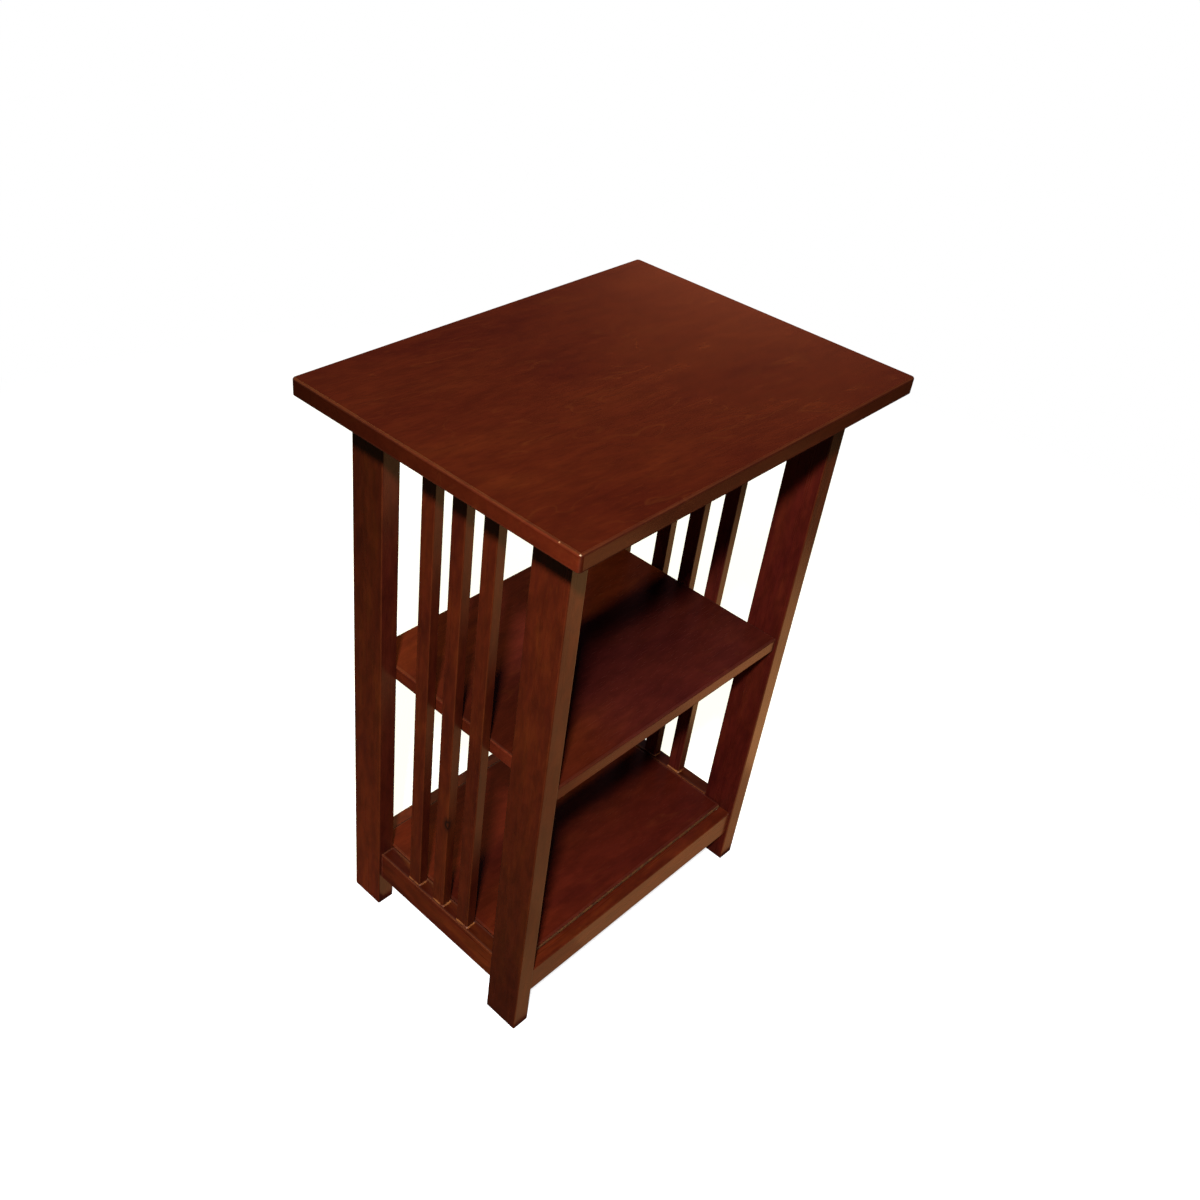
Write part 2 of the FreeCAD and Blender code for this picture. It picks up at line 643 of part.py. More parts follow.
def build_long_rail_dowels(doc):
    """The dowels that join the four long rails to the legs."""
    centres = []
    for face_sign in FACES.values():
        for rail_middle in (LOWER_LONG_RAIL_Z, UPPER_LONG_RAIL_Z):
            heights = rail_dowel_heights(rail_middle)
            centres += [(f"{face_sign} * {LONG_RAIL_Y}", height) for height in heights]
    build_cross_dowels(doc, "long_rail_dowels", centres)


def build_shelf_dowels(doc):
    """The dowels that carry the middle shelf on the legs."""
    height = f"({SHELF_UNDERSIDE} + Sizes.shelf_thickness / 2)"
    centres = []
    for face_sign in FACES.values():
        places = around(f"{face_sign} * {LEG_Y}", "Sizes.shelf_dowel_pitch")
        centres += [(place, height) for place in places]
    build_cross_dowels(doc, "middle_shelf_dowels", centres)


def add_screws(body, row, shank_length):
    """Add a row's shanks and, on the other side of its seat, their heads."""
    shank_sketch = new_sketch(body, f"{row.name}_shank_section", row.axis, row.seat)
    draw_circles(shank_sketch, row.centres, "Sizes.screw_shank_diameter")
    pad(body, f"{row.name}_shanks", shank_sketch, shank_length, row.axis, row.towards_plus)
    head_sketch = new_sketch(body, f"{row.name}_head_section", row.axis, row.seat)
    draw_circles(head_sketch, row.centres, "Sizes.screw_head_diameter")
    head_side = not row.towards_plus
    pad(body, f"{row.name}_heads", head_sketch, "Sizes.screw_head_height", row.axis, head_side)


def cut_recesses(body, row):
    """Cut the cross recesses into the heads of a row."""
    outward = -1 if row.towards_plus else 1
    head_face = f"{row.seat} + {outward} * Sizes.screw_head_height"
    arms = ("Sizes.screw_recess_span", "Sizes.screw_recess_width")
    for name, size in (("first_arms", arms), ("second_arms", arms[::-1])):
        sketch = new_sketch(body, f"{row.name}_{name}_outline", row.axis, head_face)
        for index, centre in enumerate(row.centres):
            draw_rectangle(sketch, index, *size, centre)
        depth = "Sizes.screw_recess_depth"
        pocket(body, f"{row.name}_{name}", sketch, depth, row.axis, row.towards_plus)


def build_screws(doc, label, rows, shank_length):
    """Build a group of alike cross-head wood screws."""
    body = new_body(doc, label)
    for row in rows:
        add_screws(body, row, shank_length)
    tips = disc_edges(body.Tip, "screw_shank_diameter")
    pointed = bevel(body, "screw_points", body.Tip, tips, "Sizes.screw_point")
    rims = disc_edges(pointed, "screw_head_diameter")
    bevel(body, "head_rims", pointed, rims, "Sizes.screw_rim_chamfer")
    for row in rows:
        cut_recesses(body, row)


def build_tabletop_screws(doc):
    """The screws that rise through the upper rails into the tabletop."""
    row = ScrewRow("top", "z", TOP_SCREW_SEAT, True, top_screw_centres())
    build_screws(doc, "tabletop_screws", [row], "(Sizes.top_screw_grip + Sizes.top_screw_bite)")


def build_panel_screws(doc):
    """The screws that rise through the long cleats into the bottom panel."""
    seat = f"({PANEL_UNDERSIDE} - {CLEAT_SCREW_GRIP})"
    row = ScrewRow("panel", "z", seat, True, panel_screw_centres())
    build_screws(doc, "panel_screws", [row], CLEAT_SCREW_SHANK)


def build_cleat_screws(doc):
    """The screws that hold the four cleats to the lower rails."""
    rows = []
    centres = [(place, CLEAT_Z) for place in long_cleat_screw_places()]
    for face, sign in FACES.items():
        seat = f"{sign} * ({LONG_RAIL_INNER_Y} - {CLEAT_SCREW_GRIP})"
        rows.append(ScrewRow(face, "y", seat, sign > 0, centres))
    centres = [(place, CLEAT_Z) for place in end_cleat_screw_places()]
    for side, sign in SIDES.items():
        seat = f"{sign} * ({END_RAIL_INNER_X} - {CLEAT_SCREW_GRIP})"
        rows.append(ScrewRow(side, "x", seat, sign > 0, centres))
    build_screws(doc, "cleat_screws", rows, CLEAT_SCREW_SHANK)


def build_table(doc):
    """Build every piece of the table."""
    build_tabletop(doc)
    build_middle_shelf(doc)
    build_bottom_panel(doc)
    for side, side_sign in SIDES.items():
        for face, face_sign in FACES.items():
            build_leg(doc, face, face_sign, side, side_sign)
        for number, place in enumerate(slat_places(), start=1):
            build_slat(doc, side, side_sign, number, place)
        build_lower_end_rail(doc, side, side_sign)
        build_upper_end_rail(doc, side, side_sign)
        build_end_cleat(doc, side, side_sign)
        build_frame_dowels(doc, side, side_sign)
    for face, face_sign in FACES.items():
        build_lower_long_rail(doc, face, face_sign)
        build_upper_long_rail(doc, face, face_sign)
        build_long_cleat(doc, face, face_sign)
    build_long_rail_dowels(doc)
    build_shelf_dowels(doc)
    build_tabletop_screws(doc)
    build_cleat_screws(doc)
    build_panel_screws(doc)


def check(doc):
    """Stop if any object failed, any cut removed nothing or a body is not sound."""
    for item in doc.Objects:
        if "Invalid" in item.State or "Error" in item.State:
            raise RuntimeError(f"{item.Label} did not compute: {item.State}")
        if item.TypeId in ("PartDesign::Pocket", "PartDesign::Hole"):
            if item.Shape.Volume > item.BaseFeature.Shape.Volume - TOLERANCE:
                raise RuntimeError(f"{item.Label} cuts nothing")
        if item.TypeId == "PartDesign::Body":
            if item.Shape.isNull() or not item.Shape.isValid():
                raise RuntimeError(f"{item.Label} has no sound shape")


def export(doc):
    """Write each body to a file of its own."""
    os.makedirs("parts", exist_ok=True)
    for body in doc.findObjects("PartDesign::Body"):
        body.Shape.exportStep(f"parts/{body.Label}.step")
        print(f"{body.Label}: {len(body.Shape.Solids)} solid(s), {body.Shape.Volume:.0f} mm3")


def main():
    """Build, check and export the table."""
    doc = FreeCAD.newDocument("EndTable")
    add_sheet(doc)
    build_table(doc)
    doc.recompute()
    check(doc)
    export(doc)


main()
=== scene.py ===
"""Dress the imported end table: stained wood, glue beads, floor, lamps and camera.

Metres, +Z up, +X to the right along the open front, +Y to the rear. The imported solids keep
their shape and their place. Each gets a finish of its own, with the grain along the piece. The
slats' feet get small beads of glue, and the step in front of the bottom panel a line of finish.
"""

from __future__ import annotations

import logging
import math
from collections.abc import Mapping, Sequence
from dataclasses import dataclass, replace
from enum import Enum

import bpy
import numpy as np
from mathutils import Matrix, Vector

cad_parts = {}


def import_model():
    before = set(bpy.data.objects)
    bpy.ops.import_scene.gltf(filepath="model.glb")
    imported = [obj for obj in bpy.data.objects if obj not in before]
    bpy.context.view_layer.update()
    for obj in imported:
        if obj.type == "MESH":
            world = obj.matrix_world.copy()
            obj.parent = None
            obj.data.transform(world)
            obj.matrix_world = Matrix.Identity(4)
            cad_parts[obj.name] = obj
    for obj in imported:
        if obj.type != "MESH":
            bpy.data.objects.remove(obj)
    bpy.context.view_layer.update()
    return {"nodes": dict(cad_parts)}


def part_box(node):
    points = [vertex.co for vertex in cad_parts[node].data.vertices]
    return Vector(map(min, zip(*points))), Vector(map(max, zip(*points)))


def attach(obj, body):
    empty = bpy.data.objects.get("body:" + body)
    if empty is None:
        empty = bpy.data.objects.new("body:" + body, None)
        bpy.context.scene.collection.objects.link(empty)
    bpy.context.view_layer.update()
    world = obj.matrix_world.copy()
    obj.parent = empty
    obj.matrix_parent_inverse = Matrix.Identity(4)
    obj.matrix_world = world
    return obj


log = logging.getLogger("end_table")

Colour = tuple[float, float, float]
Point = tuple[float, float, float]
Span = tuple[float, float]
Socket = bpy.types.NodeSocket
Input = float | Sequence[float] | Socket

WHITE: Colour = (1.0, 1.0, 1.0)

# How far one seed's pattern lies from the next one's, in repeats.
SEED_STRIDE = Vector((3.7, 5.3, 7.9))

# Where a Mix node keeps its two colours and their blend.
MIX_FIRST, MIX_SECOND, MIX_RESULT = 6, 7, 2


class Axis(Enum):
    """The three axes, also as the one that a piece's fibres run along."""

    X = 0
    Y = 1
    Z = 2

    def stretch(self, along: float, across: float) -> Vector:
        """Return pattern repeats per metre for each axis."""
        return Vector([along if axis is self else across for axis in Axis])


class NodeWord(Enum):
    """A choice whose name, in small letters, is part of the nodes' names."""

    @property
    def word(self) -> str:
        """The word that the nodes' names use."""
        return self.name.lower()


class Side(NodeWord):
    """The two ends of the table, by the sign of X."""

    LEFT = -1
    RIGHT = 1


class Face(NodeWord):
    """The table's two long sides, by the sign of Y."""

    FRONT = -1
    REAR = 1


class Sheet:
    """A node tree that is being filled, with one short call for each kind of node."""

    def __init__(self, tree: bpy.types.NodeTree) -> None:
        """Empty the tree and keep it."""
        tree.nodes.clear()
        self.tree = tree

    def feed(self, socket: Socket, value: Input) -> None:
        """Link a socket to an output, or set its own value.

        Args:
            socket: the input to fill.
            value: an output socket, a number, a vector or a colour.
        """
        if isinstance(value, bpy.types.NodeSocket):
            self.tree.links.new(value, socket)
        elif socket.type == "RGBA" and len(value) == 3:
            socket.default_value = (*value, 1.0)
        else:
            socket.default_value = value

    def add(
        self, kind: str, values: Sequence[Input] | Mapping[str | int, Input] = (), **settings: object
    ) -> bpy.types.Node:
        """Add a node.

        Args:
            kind: the node's type name.
            values: what goes into its sockets, in their order or by their names or numbers.
            **settings: properties to set on it.

        Returns:
            The new node.
        """
        node = self.tree.nodes.new(kind)
        for name, setting in settings.items():
            setattr(node, name, setting)
        pairs = values.items() if isinstance(values, Mapping) else enumerate(values)
        for key, value in pairs:
            self.feed(node.inputs[key], value)
        return node

    def math(self, operation: str, *values: Input) -> Socket:
        """Return what a Math node makes of the values."""
        return self.add("ShaderNodeMath", values, operation=operation).outputs[0]

    def vector(self, operation: str, *values: Input) -> Socket:
        """Return the vector that a Vector Math node makes of the values."""
        return self.add("ShaderNodeVectorMath", values, operation=operation).outputs["Vector"]

    def length(self, vector: Input) -> Socket:
        """Return the length of a vector."""
        return self.add("ShaderNodeVectorMath", (vector,), operation="LENGTH").outputs["Value"]

    def dot(self, first: Input, second: Input) -> Socket:
        """Return the dot product of two vectors."""
        return self.add("ShaderNodeVectorMath", (first, second), operation="DOT_PRODUCT").outputs["Value"]

    def scaled(self, vector: Input, amount: Input) -> Socket:
        """Return a vector or a colour times an amount."""
        values = {"Vector": vector, "Scale": amount}
        return self.add("ShaderNodeVectorMath", values, operation="SCALE").outputs["Vector"]

    def split(self, vector: Input) -> tuple[Socket, Socket, Socket]:
        """Return a vector's three parts."""
        return tuple(self.add("ShaderNodeSeparateXYZ", (vector,)).outputs)

    def mapping(self, vector: Input, scale: Input, shift: Input = (0, 0, 0), turn: float = 0.0) -> Socket:
        """Scale a vector, turn it about Z and then shift it."""
        values = {"Vector": vector, "Location": shift, "Rotation": (0, 0, turn), "Scale": scale}
        return self.add("ShaderNodeMapping", values, vector_type="POINT").outputs[0]

    def zoom(self, vector: Input, repeats: float) -> Socket:
        """Scale a vector alike on each axis."""
        return self.mapping(vector, (repeats, repeats, repeats))

    def noise(
        self, vector: Input, detail: float = 2.0, roughness: float = 0.5, distortion: float = 0.0
    ) -> Socket:
        """Return smooth noise between 0 and 1, one lump per unit of the vector."""
        values = dict(Vector=vector, Scale=1.0, Detail=detail, Roughness=roughness, Distortion=distortion)
        return self.add("ShaderNodeTexNoise", values, noise_dimensions="3D").outputs["Fac"]

    def fade(self, value: Input, start: float, end: float, low: float = 0.0, high: float = 1.0) -> Socket:
        """Go smoothly from low to high while a value goes from start to end."""
        values = (value, start, end, low, high)
        return self.add("ShaderNodeMapRange", values, interpolation_type="SMOOTHSTEP", clamp=True).outputs[0]

    def blend(self, share: Input, first: Input, second: Input) -> Socket:
        """Blend two colours."""
        values = {0: share, MIX_FIRST: first, MIX_SECOND: second}
        return self.add("ShaderNodeMix", values, data_type="RGBA", clamp_factor=True).outputs[MIX_RESULT]

    def shaded(self, colour: Socket, noise: Socket, span: Span, strength: float) -> Socket:
        """Make a colour darker and lighter by up to a strength while noise crosses a span."""
        return self.scaled(colour, self.fade(noise, *span, 1.0 - strength, 1.0 + strength))

    def ragged(self, reach: Socket, offset: Socket, repeats: float, swing: float, detail: float) -> Socket:
        """Make a distance longer and shorter by up to a swing, with noise over the offset."""
        noise = self.noise(self.zoom(offset, repeats), detail)
        return self.math("ADD", reach, self.math("MULTIPLY_ADD", noise, 2 * swing, -swing))

    def ramp(self, share: Input, stops: Sequence[tuple[float, Colour]]) -> Socket:
        """Turn a share into a colour.

        Args:
            share: where to read the ramp, from 0 to 1.
            stops: places on the ramp and their colours, in order.

        Returns:
            The colour.
        """
        node = self.add("ShaderNodeValToRGB", (share,))
        node.color_ramp.interpolation = "EASE"
        elements = node.color_ramp.elements
        while len(elements) < len(stops):
            elements.new(1.0)
        for element, (place, colour) in zip(elements, stops):
            element.position = place
            element.color = (*colour, 1.0)
        return node.outputs[0]

    def bump(self, height: Input, strength: float = 1.0) -> Socket:
        """Return the normal of a face that is raised by a height in metres."""
        values = {"Strength": strength, "Distance": 1.0, "Height": height}
        return self.add("ShaderNodeBump", values).outputs[0]

    def shader(self, kind: str, *values: Input) -> Socket:
        """Return the shader that a node of this kind gives."""
        return self.add(kind, values).outputs[0]

    def close(self, shader: Socket, kind: str = "ShaderNodeOutputMaterial") -> None:
        """Make a shader the tree's result."""
        self.add(kind, {"Surface": shader})


class Paint(Sheet):
    """The tree of a new material."""

    def __init__(self, name: str) -> None:
        """Make the material for what has this name.

        Args:
            name: the piece's name.
        """
        self.material = bpy.data.materials.new(f"{name}_finish")
        self.material.use_nodes = True
        super().__init__(self.material.node_tree)

    def cover(self, values: Mapping[str, Input]) -> bpy.types.Material:
        """Close the tree with a Principled shader of these values and return the material."""
        self.close(self.add("ShaderNodeBsdfPrincipled", values).outputs[0])
        return self.material


@dataclass(frozen=True)
class PinKnot:
    """A small dark ring in a faint dark halo, a little longer along Z than across."""

    centre: Point
    radius: float = 0.0042
    dark: Colour = (0.016, 0.004, 0.003)
    squeeze: Point = (1.0, 1.0, 0.62)
    repeats: float = 300.0
    swing: float = 0.0008
    ring_place: float = 0.72
    ring_span: Span = (0.38, 0.12)
    ring_strength: float = 0.9
    halo_reach: float = 2.2
    halo_strength: float = 0.45

    def paint(self, sheet: Sheet, place: Socket, colour: Socket) -> Socket:
        """Paint the knot over a colour.

        Args:
            sheet: the material's tree.
            place: the shaded point, in metres.
            colour: what lies below.

        Returns:
            The colour with the knot on it.
        """
        offset = sheet.vector("SUBTRACT", place, self.centre)
        reach = sheet.length(sheet.mapping(offset, self.squeeze))
        reach = sheet.ragged(reach, offset, self.repeats, self.swing, 2.0)
        halo = sheet.fade(reach, self.radius * self.halo_reach, self.radius, 0.0, self.halo_strength)
        colour = sheet.blend(halo, colour, self.dark)
        aside = sheet.math("ABSOLUTE", sheet.math("SUBTRACT", reach, self.radius * self.ring_place))
        outer, inner = (self.radius * share for share in self.ring_span)
        return sheet.blend(sheet.fade(aside, outer, inner, 0.0, self.ring_strength), colour, self.dark)


@dataclass(frozen=True)
class HighlightSpot:
    """A light spot painted on an arris, where a highlight sparkles."""

    centre: Point
    radius: float
    bare: Colour = (0.62, 0.42, 0.26)
    core: float = 0.6
    repeats: float = 900.0
    swing: float = 0.0007

    def paint(self, sheet: Sheet, place: Socket, colour: Socket) -> Socket:
        """Paint the light spot over a colour.

        Args:
            sheet: the material's tree.
            place: the shaded point, in metres.
            colour: what lies below.

        Returns:
            The colour with the spot on it.
        """
        offset = sheet.vector("SUBTRACT", place, self.centre)
        reach = sheet.ragged(sheet.length(offset), offset, self.repeats, self.swing, 3.0)
        return sheet.blend(sheet.fade(reach, self.radius, self.radius * self.core), colour, self.bare)


@dataclass(frozen=True)
class PaintedLine:
    """A thin painted line from one point to another: light for a highlight along an arris, dark for shade in
    a gap.
    """

    start: Point
    end: Point
    radius: float
    strength: float
    tint: Colour = (0.17, 0.046, 0.020)
    core: float = 0.5
    repeats: float = 160.0
    broken_span: Span = (0.3, 0.6)
    weakest: float = 0.55

    def paint(self, sheet: Sheet, place: Socket, colour: Socket) -> Socket:
        """Paint the line over a colour.

        The distance to the line is the length of what is left of the way from its start once
        the part along it, held between start and end, is taken off.

        Args:
            sheet: the material's tree.
            place: the shaded point, in metres.
            colour: what lies below.

        Returns:
            The colour with the line on it.
        """
        run = Vector(self.end) - Vector(self.start)
        offset = sheet.vector("SUBTRACT", place, self.start)
        share = sheet.dot(offset, run / run.length_squared)
        share = sheet.math("MINIMUM", sheet.math("MAXIMUM", share, 0.0), 1.0)
        reach = sheet.length(sheet.vector("SUBTRACT", offset, sheet.scaled(run, share)))
        amount = sheet.fade(reach, self.radius, self.radius * self.core, 0.0, self.strength)
        broken = sheet.noise(sheet.zoom(place, self.repeats), 3.0)
        amount = sheet.math("MULTIPLY", amount, sheet.fade(broken, *self.broken_span, self.weakest))
        return sheet.blend(amount, colour, self.tint)


Mark = PinKnot | HighlightSpot | PaintedLine


@dataclass(frozen=True)
class PaintedLightStep:
    """A soft step of painted light and shade in a piece's colour along one axis, in metres from its middle:
    lighter where a part is lit more, darker and cooler where it lies in shade.
    """

    axis: Axis
    start: float
    end: float
    factors: Colour

    def paint(self, sheet: Sheet, local: Socket, colour: Socket) -> Socket:
        """Return a colour as it is before the step, and times the factors beyond it."""
        share = sheet.fade(sheet.split(local)[self.axis.value], self.start, self.end)
        return sheet.vector("MULTIPLY", colour, sheet.blend(share, WHITE, self.factors))


@dataclass(frozen=True)
class Piece:
    """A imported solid's node, with what its finish needs to know about it."""

    node: bpy.types.Object
    grain: Axis
    seed: int
    drift: float = 0.0
    turn: float = 0.0
    marks: tuple[Mark, ...] = ()
    tone: float = 1.0
    # Painted light and shade on the faces towards the table's ends, at the low and the high end of the side
    # axis.
    end_face_light: Span = (1.0, 1.0)
    side_axis: Axis = Axis.Z
    # Painted light and shade: soft steps that lighten or darken parts of the piece's colour.
    steps: tuple[PaintedLightStep, ...] = ()

    @property
    def centre(self) -> Vector:
        """The middle of the solid's box."""
        low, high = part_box(self.node.name)
        return (low + high) / 2

    @property
    def half(self) -> Vector:
        """Half the size of the solid's box."""
        low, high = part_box(self.node.name)
        return (high - low) / 2


@dataclass(frozen=True)
class Tones:
    """Three depths of one stain and a lighter tone for its wisps and for its arrises, which are worn through
    and carry a painted highlight, in linear light.
    """

    deep: Colour
    body: Colour
    warm: Colour
    rubbed_and_highlit: Colour


class WoodField:
    """The coordinates and masks that the finishes read, for one piece."""

    def __init__(self, sheet: Sheet, piece: Piece) -> None:
        """Work out the piece's own coordinates.

        Args:
            sheet: the material's tree.
            piece: the piece that is dressed.
        """
        self.sheet = sheet
        self.piece = piece
        self.place = sheet.add("ShaderNodeTexCoord").outputs["Object"]
        self.local = sheet.vector("SUBTRACT", self.place, piece.centre)
        self.turned = sheet.mapping(self.local, (1, 1, 1), turn=piece.turn)
        self.shift = SEED_STRIDE * piece.seed

    def fibre(self, along: float, across: float) -> Socket:
        """Return coordinates stretched along the grain, in repeats per metre."""
        return self.sheet.mapping(self.local, self.piece.grain.stretch(along, across), self.shift)

    def figure(self, along: float, across: float) -> Socket:
        """Return coordinates stretched along the figure, which may lie askew to the piece."""
        return self.sheet.mapping(self.turned, self.piece.grain.stretch(along, across), self.shift)

    def edge_distance(self) -> Socket:
        """Return how far a point lies from the nearest arris of its face.

        The distances to the box's sides are sorted, and the middle one is it, because the
        least one is the depth under the face itself.

        Returns:
            The distance in metres.
        """
        sheet = self.sheet
        inside = sheet.vector("SUBTRACT", self.piece.half, sheet.vector("ABSOLUTE", self.local))
        x, y, z = sheet.split(inside)
        least = sheet.math("MINIMUM", x, y)
        most = sheet.math("MAXIMUM", x, y)
        return sheet.math("MAXIMUM", least, sheet.math("MINIMUM", most, z))

    def facing(self, axis: Axis, span: Span) -> Socket:
        """Go from 0 to 1 over a span of how squarely a face looks along an axis, either way."""
        normal = self.sheet.add("ShaderNodeNewGeometry").outputs["Normal"]
        return self.sheet.fade(self.sheet.math("ABSOLUTE", self.sheet.split(normal)[axis.value]), *span)

    def along(self) -> Socket:
        """Return the place along the piece, from -1 at one end to 1 at the other."""
        axis = self.piece.grain.value
        return self.sheet.math("DIVIDE", self.sheet.split(self.local)[axis], self.piece.half[axis])

    def painted_end_light(self, span: Span) -> Socket:
        """Return the painted light and shade on the faces towards the table's ends.

        The tone goes from the piece's low one to its high one along its side axis, by equal
        factors over equal lengths.

        Args:
            span: how squarely a face looks along X where the tone begins and where it is full.

        Returns:
            The tone, which is 1 on all other faces.
        """
        sheet = self.sheet
        low, high = self.piece.end_face_light
        axis = self.piece.side_axis.value
        progress = sheet.math("MULTIPLY_ADD", sheet.split(self.local)[axis], 0.5 / self.piece.half[axis], 0.5)
        tone = sheet.math("MULTIPLY", sheet.math("POWER", high / low, progress), low)
        change = sheet.math("SUBTRACT", tone, 1.0)
        return sheet.math("MULTIPLY_ADD", self.facing(Axis.X, span), change, 1.0)


@dataclass(frozen=True)
class StainedWood:
    """Satin reddish-brown stain over fine, close-grained wood.

    A scale holds repeats per metre along and across the fibres. A span holds the two values
    between which something fades in. They are metres from an arris for glaze, for the arris
    lightened by worn stain and a painted highlight, and for dulling, how squarely a face looks
    along an axis for end grain and for the painted light on end faces, and else noise.
    """

    tones: Tones
    cloud_scale: Span = (9.0, 46.0)
    cloud_reach: float = 0.25
    wisp_scale: Span = (7.0, 110.0)
    wisp_width: float = 0.026
    wisp_strength: float = 0.08
    patch_scale: Span = (11.0, 23.0)
    patch_span: Span = (0.42, 0.66)
    flame_narrowing: float = 0.7
    flame_span: Span = (0.50, 0.70)
    flame_strength: float = 0.19
    mottle_scale: Span = (34.0, 95.0)
    mottle_span: Span = (0.30, 0.70)
    mottle_strength: float = 0.22
    fleck_scale: Span = (90.0, 420.0)
    light_fleck_span: Span = (0.58, 0.72)
    dark_fleck_span: Span = (0.42, 0.28)
    fleck_strength: float = 0.35
    streak_scale: Span = (2.6, 240.0)
    streak_span: Span = (0.25, 0.75)
    streak_strength: float = 0.05
    pore_scale: Span = (95.0, 1500.0)
    pore_span: Span = (0.62, 0.74)
    pore_strength: float = 0.15
    end_span: Span = (0.75, 0.95)
    end_strength: float = 0.3
    end_light_span: Span = (0.55, 0.95)
    rub_scale: Span = (28.0, 60.0)
    glaze_span: Span = (0.010, 0.002)
    rub_span: Span = (0.4, 0.7)
    glaze_strength: float = 0.3
    wear_and_highlight_swing: float = 0.0022
    wear_and_highlight_span: Span = (0.0005, -0.0009)
    edge_wear_and_highlight: float = 0.24
    relief_strength: float = 1.0
    streak_height: float = 2.5e-6
    pore_height: float = -4e-6
    peel_repeats: float = 420.0
    peel_height: float = 5e-6
    wave_repeats: float = 8.0
    wave_height: float = 160e-6
    specular: float = 0.5
    specular_tint: Colour = WHITE
    sheen_roughness: float = 0.28
    sheen_span: Span = (0.2, 0.8)
    sheen_swing: float = 0.012
    pore_dulling: float = 0.03
    dulling_span: Span = (0.003, 0.001)
    edge_dulling: float = 0.0

    def clouds(self, field: WoodField) -> Socket:
        """Return the blotchy ground of the stain.

        Wide noise, stretched along the grain, picks between the deep, the body and the warm
        tone, and the piece's drift slides it from one end to the other.

        Args:
            field: the piece's coordinates.

        Returns:
            A colour.
        """
        sheet = field.sheet
        noise = sheet.noise(field.figure(*self.cloud_scale), 3.0, 0.55, 0.5)
        share = sheet.math("ADD", noise, sheet.math("MULTIPLY", field.along(), field.piece.drift))
        low, high = 0.5 - self.cloud_reach, 0.5 + self.cloud_reach
        return sheet.ramp(share, ((low, self.tones.deep), (0.5, self.tones.body), (high, self.tones.warm)))

    def figure(self, field: WoodField, ground: Socket) -> Socket:
        """Lay thin light wisps, dark flames, a fine mottle and short flecks over the ground.

        A wisp is the ridge where distorted, stretched noise passes its middle value. A second
        noise lets it show only here and there. Flecks are where a much finer noise peaks.

        Args:
            field: the piece's coordinates.
            ground: the colour below.

        Returns:
            A colour.
        """
        sheet, tones = field.sheet, self.tones
        along, across = self.wisp_scale
        noise = sheet.noise(field.figure(along, across), 2.0, 0.45, 0.7)
        ridge = sheet.math("ABSOLUTE", sheet.math("SUBTRACT", noise, 0.5))
        patch = sheet.noise(field.figure(*self.patch_scale))
        patch = sheet.fade(patch, *self.patch_span, 0.0, self.wisp_strength)
        light = sheet.math("MULTIPLY", sheet.fade(ridge, self.wisp_width, 0.0), patch)
        colour = sheet.blend(light, ground, tones.rubbed_and_highlit)
        flame = sheet.noise(field.figure(along, across * self.flame_narrowing), 4.0, 0.62, 0.6)
        dark = sheet.fade(flame, *self.flame_span, 0.0, self.flame_strength)
        colour = sheet.blend(dark, colour, tones.deep)
        mottle = sheet.noise(field.figure(*self.mottle_scale), 4.0, 0.65, 0.3)
        colour = sheet.shaded(colour, mottle, self.mottle_span, self.mottle_strength)
        fleck = sheet.noise(field.figure(*self.fleck_scale), 1.0)
        for span, tone in ((self.light_fleck_span, tones.warm), (self.dark_fleck_span, tones.deep)):
            colour = sheet.blend(sheet.fade(fleck, *span, 0.0, self.fleck_strength), colour, tone)
        return colour

    def relief(self, field: WoodField, streak: Socket, pore: Socket) -> Socket:
        """Return the bumped normal: fibres, pores, the lacquer's peel and a slow wave.

        Args:
            field: the piece's coordinates.
            streak: the fine streaks.
            pore: the open pores.

        Returns:
            A normal.
        """
        sheet = field.sheet
        peel = sheet.noise(sheet.zoom(field.local, self.peel_repeats), 1.0)
        wave = sheet.noise(sheet.zoom(field.local, self.wave_repeats), 1.0)
        height = sheet.math("MULTIPLY", streak, self.streak_height)
        for layer, rise in ((pore, self.pore_height), (peel, self.peel_height), (wave, self.wave_height)):
            height = sheet.math("MULTIPLY_ADD", layer, rise, height)
        return sheet.bump(height, self.relief_strength)

    def edges(self, field: WoodField, colour: Socket) -> Socket:
        """Lighten the arrises, where the stain is worn through and a painted highlight runs along them, with
        a darker band just inside them.

        Args:
            field: the piece's coordinates.
            colour: the colour below.

        Returns:
            A colour.
        """
        sheet = field.sheet
        distance = field.edge_distance()
        uneven = sheet.noise(field.fibre(*self.rub_scale), 3.0, 0.6)
        patch = sheet.fade(uneven, *self.rub_span, 0.0, self.glaze_strength)
        glaze = sheet.math("MULTIPLY", sheet.fade(distance, *self.glaze_span), patch)
        colour = sheet.blend(glaze, colour, self.tones.deep)
        reach = sheet.math("SUBTRACT", distance, sheet.math("MULTIPLY", uneven, self.wear_and_highlight_swing))
        wear_and_highlight = sheet.fade(reach, *self.wear_and_highlight_span, 0.0, self.edge_wear_and_highlight)
        return sheet.blend(wear_and_highlight, colour, self.tones.rubbed_and_highlit)

    def roughness(self, field: WoodField, streak: Socket, pore: Socket) -> Socket:
        """Return how rough the finish is: a little more in streaks, pores and at the arrises.

        Args:
            field: the piece's coordinates.
            streak: the fine streaks.
            pore: the open pores.

        Returns:
            A roughness.
        """
        sheet = field.sheet
        low, high = self.sheen_roughness - self.sheen_swing, self.sheen_roughness + self.sheen_swing
        rough = sheet.fade(streak, *self.sheen_span, low, high)
        rough = sheet.math("MULTIPLY_ADD", pore, self.pore_dulling, rough)
        dull = sheet.fade(field.edge_distance(), *self.dulling_span, 0.0, self.edge_dulling)
        return sheet.math("ADD", rough, dull)

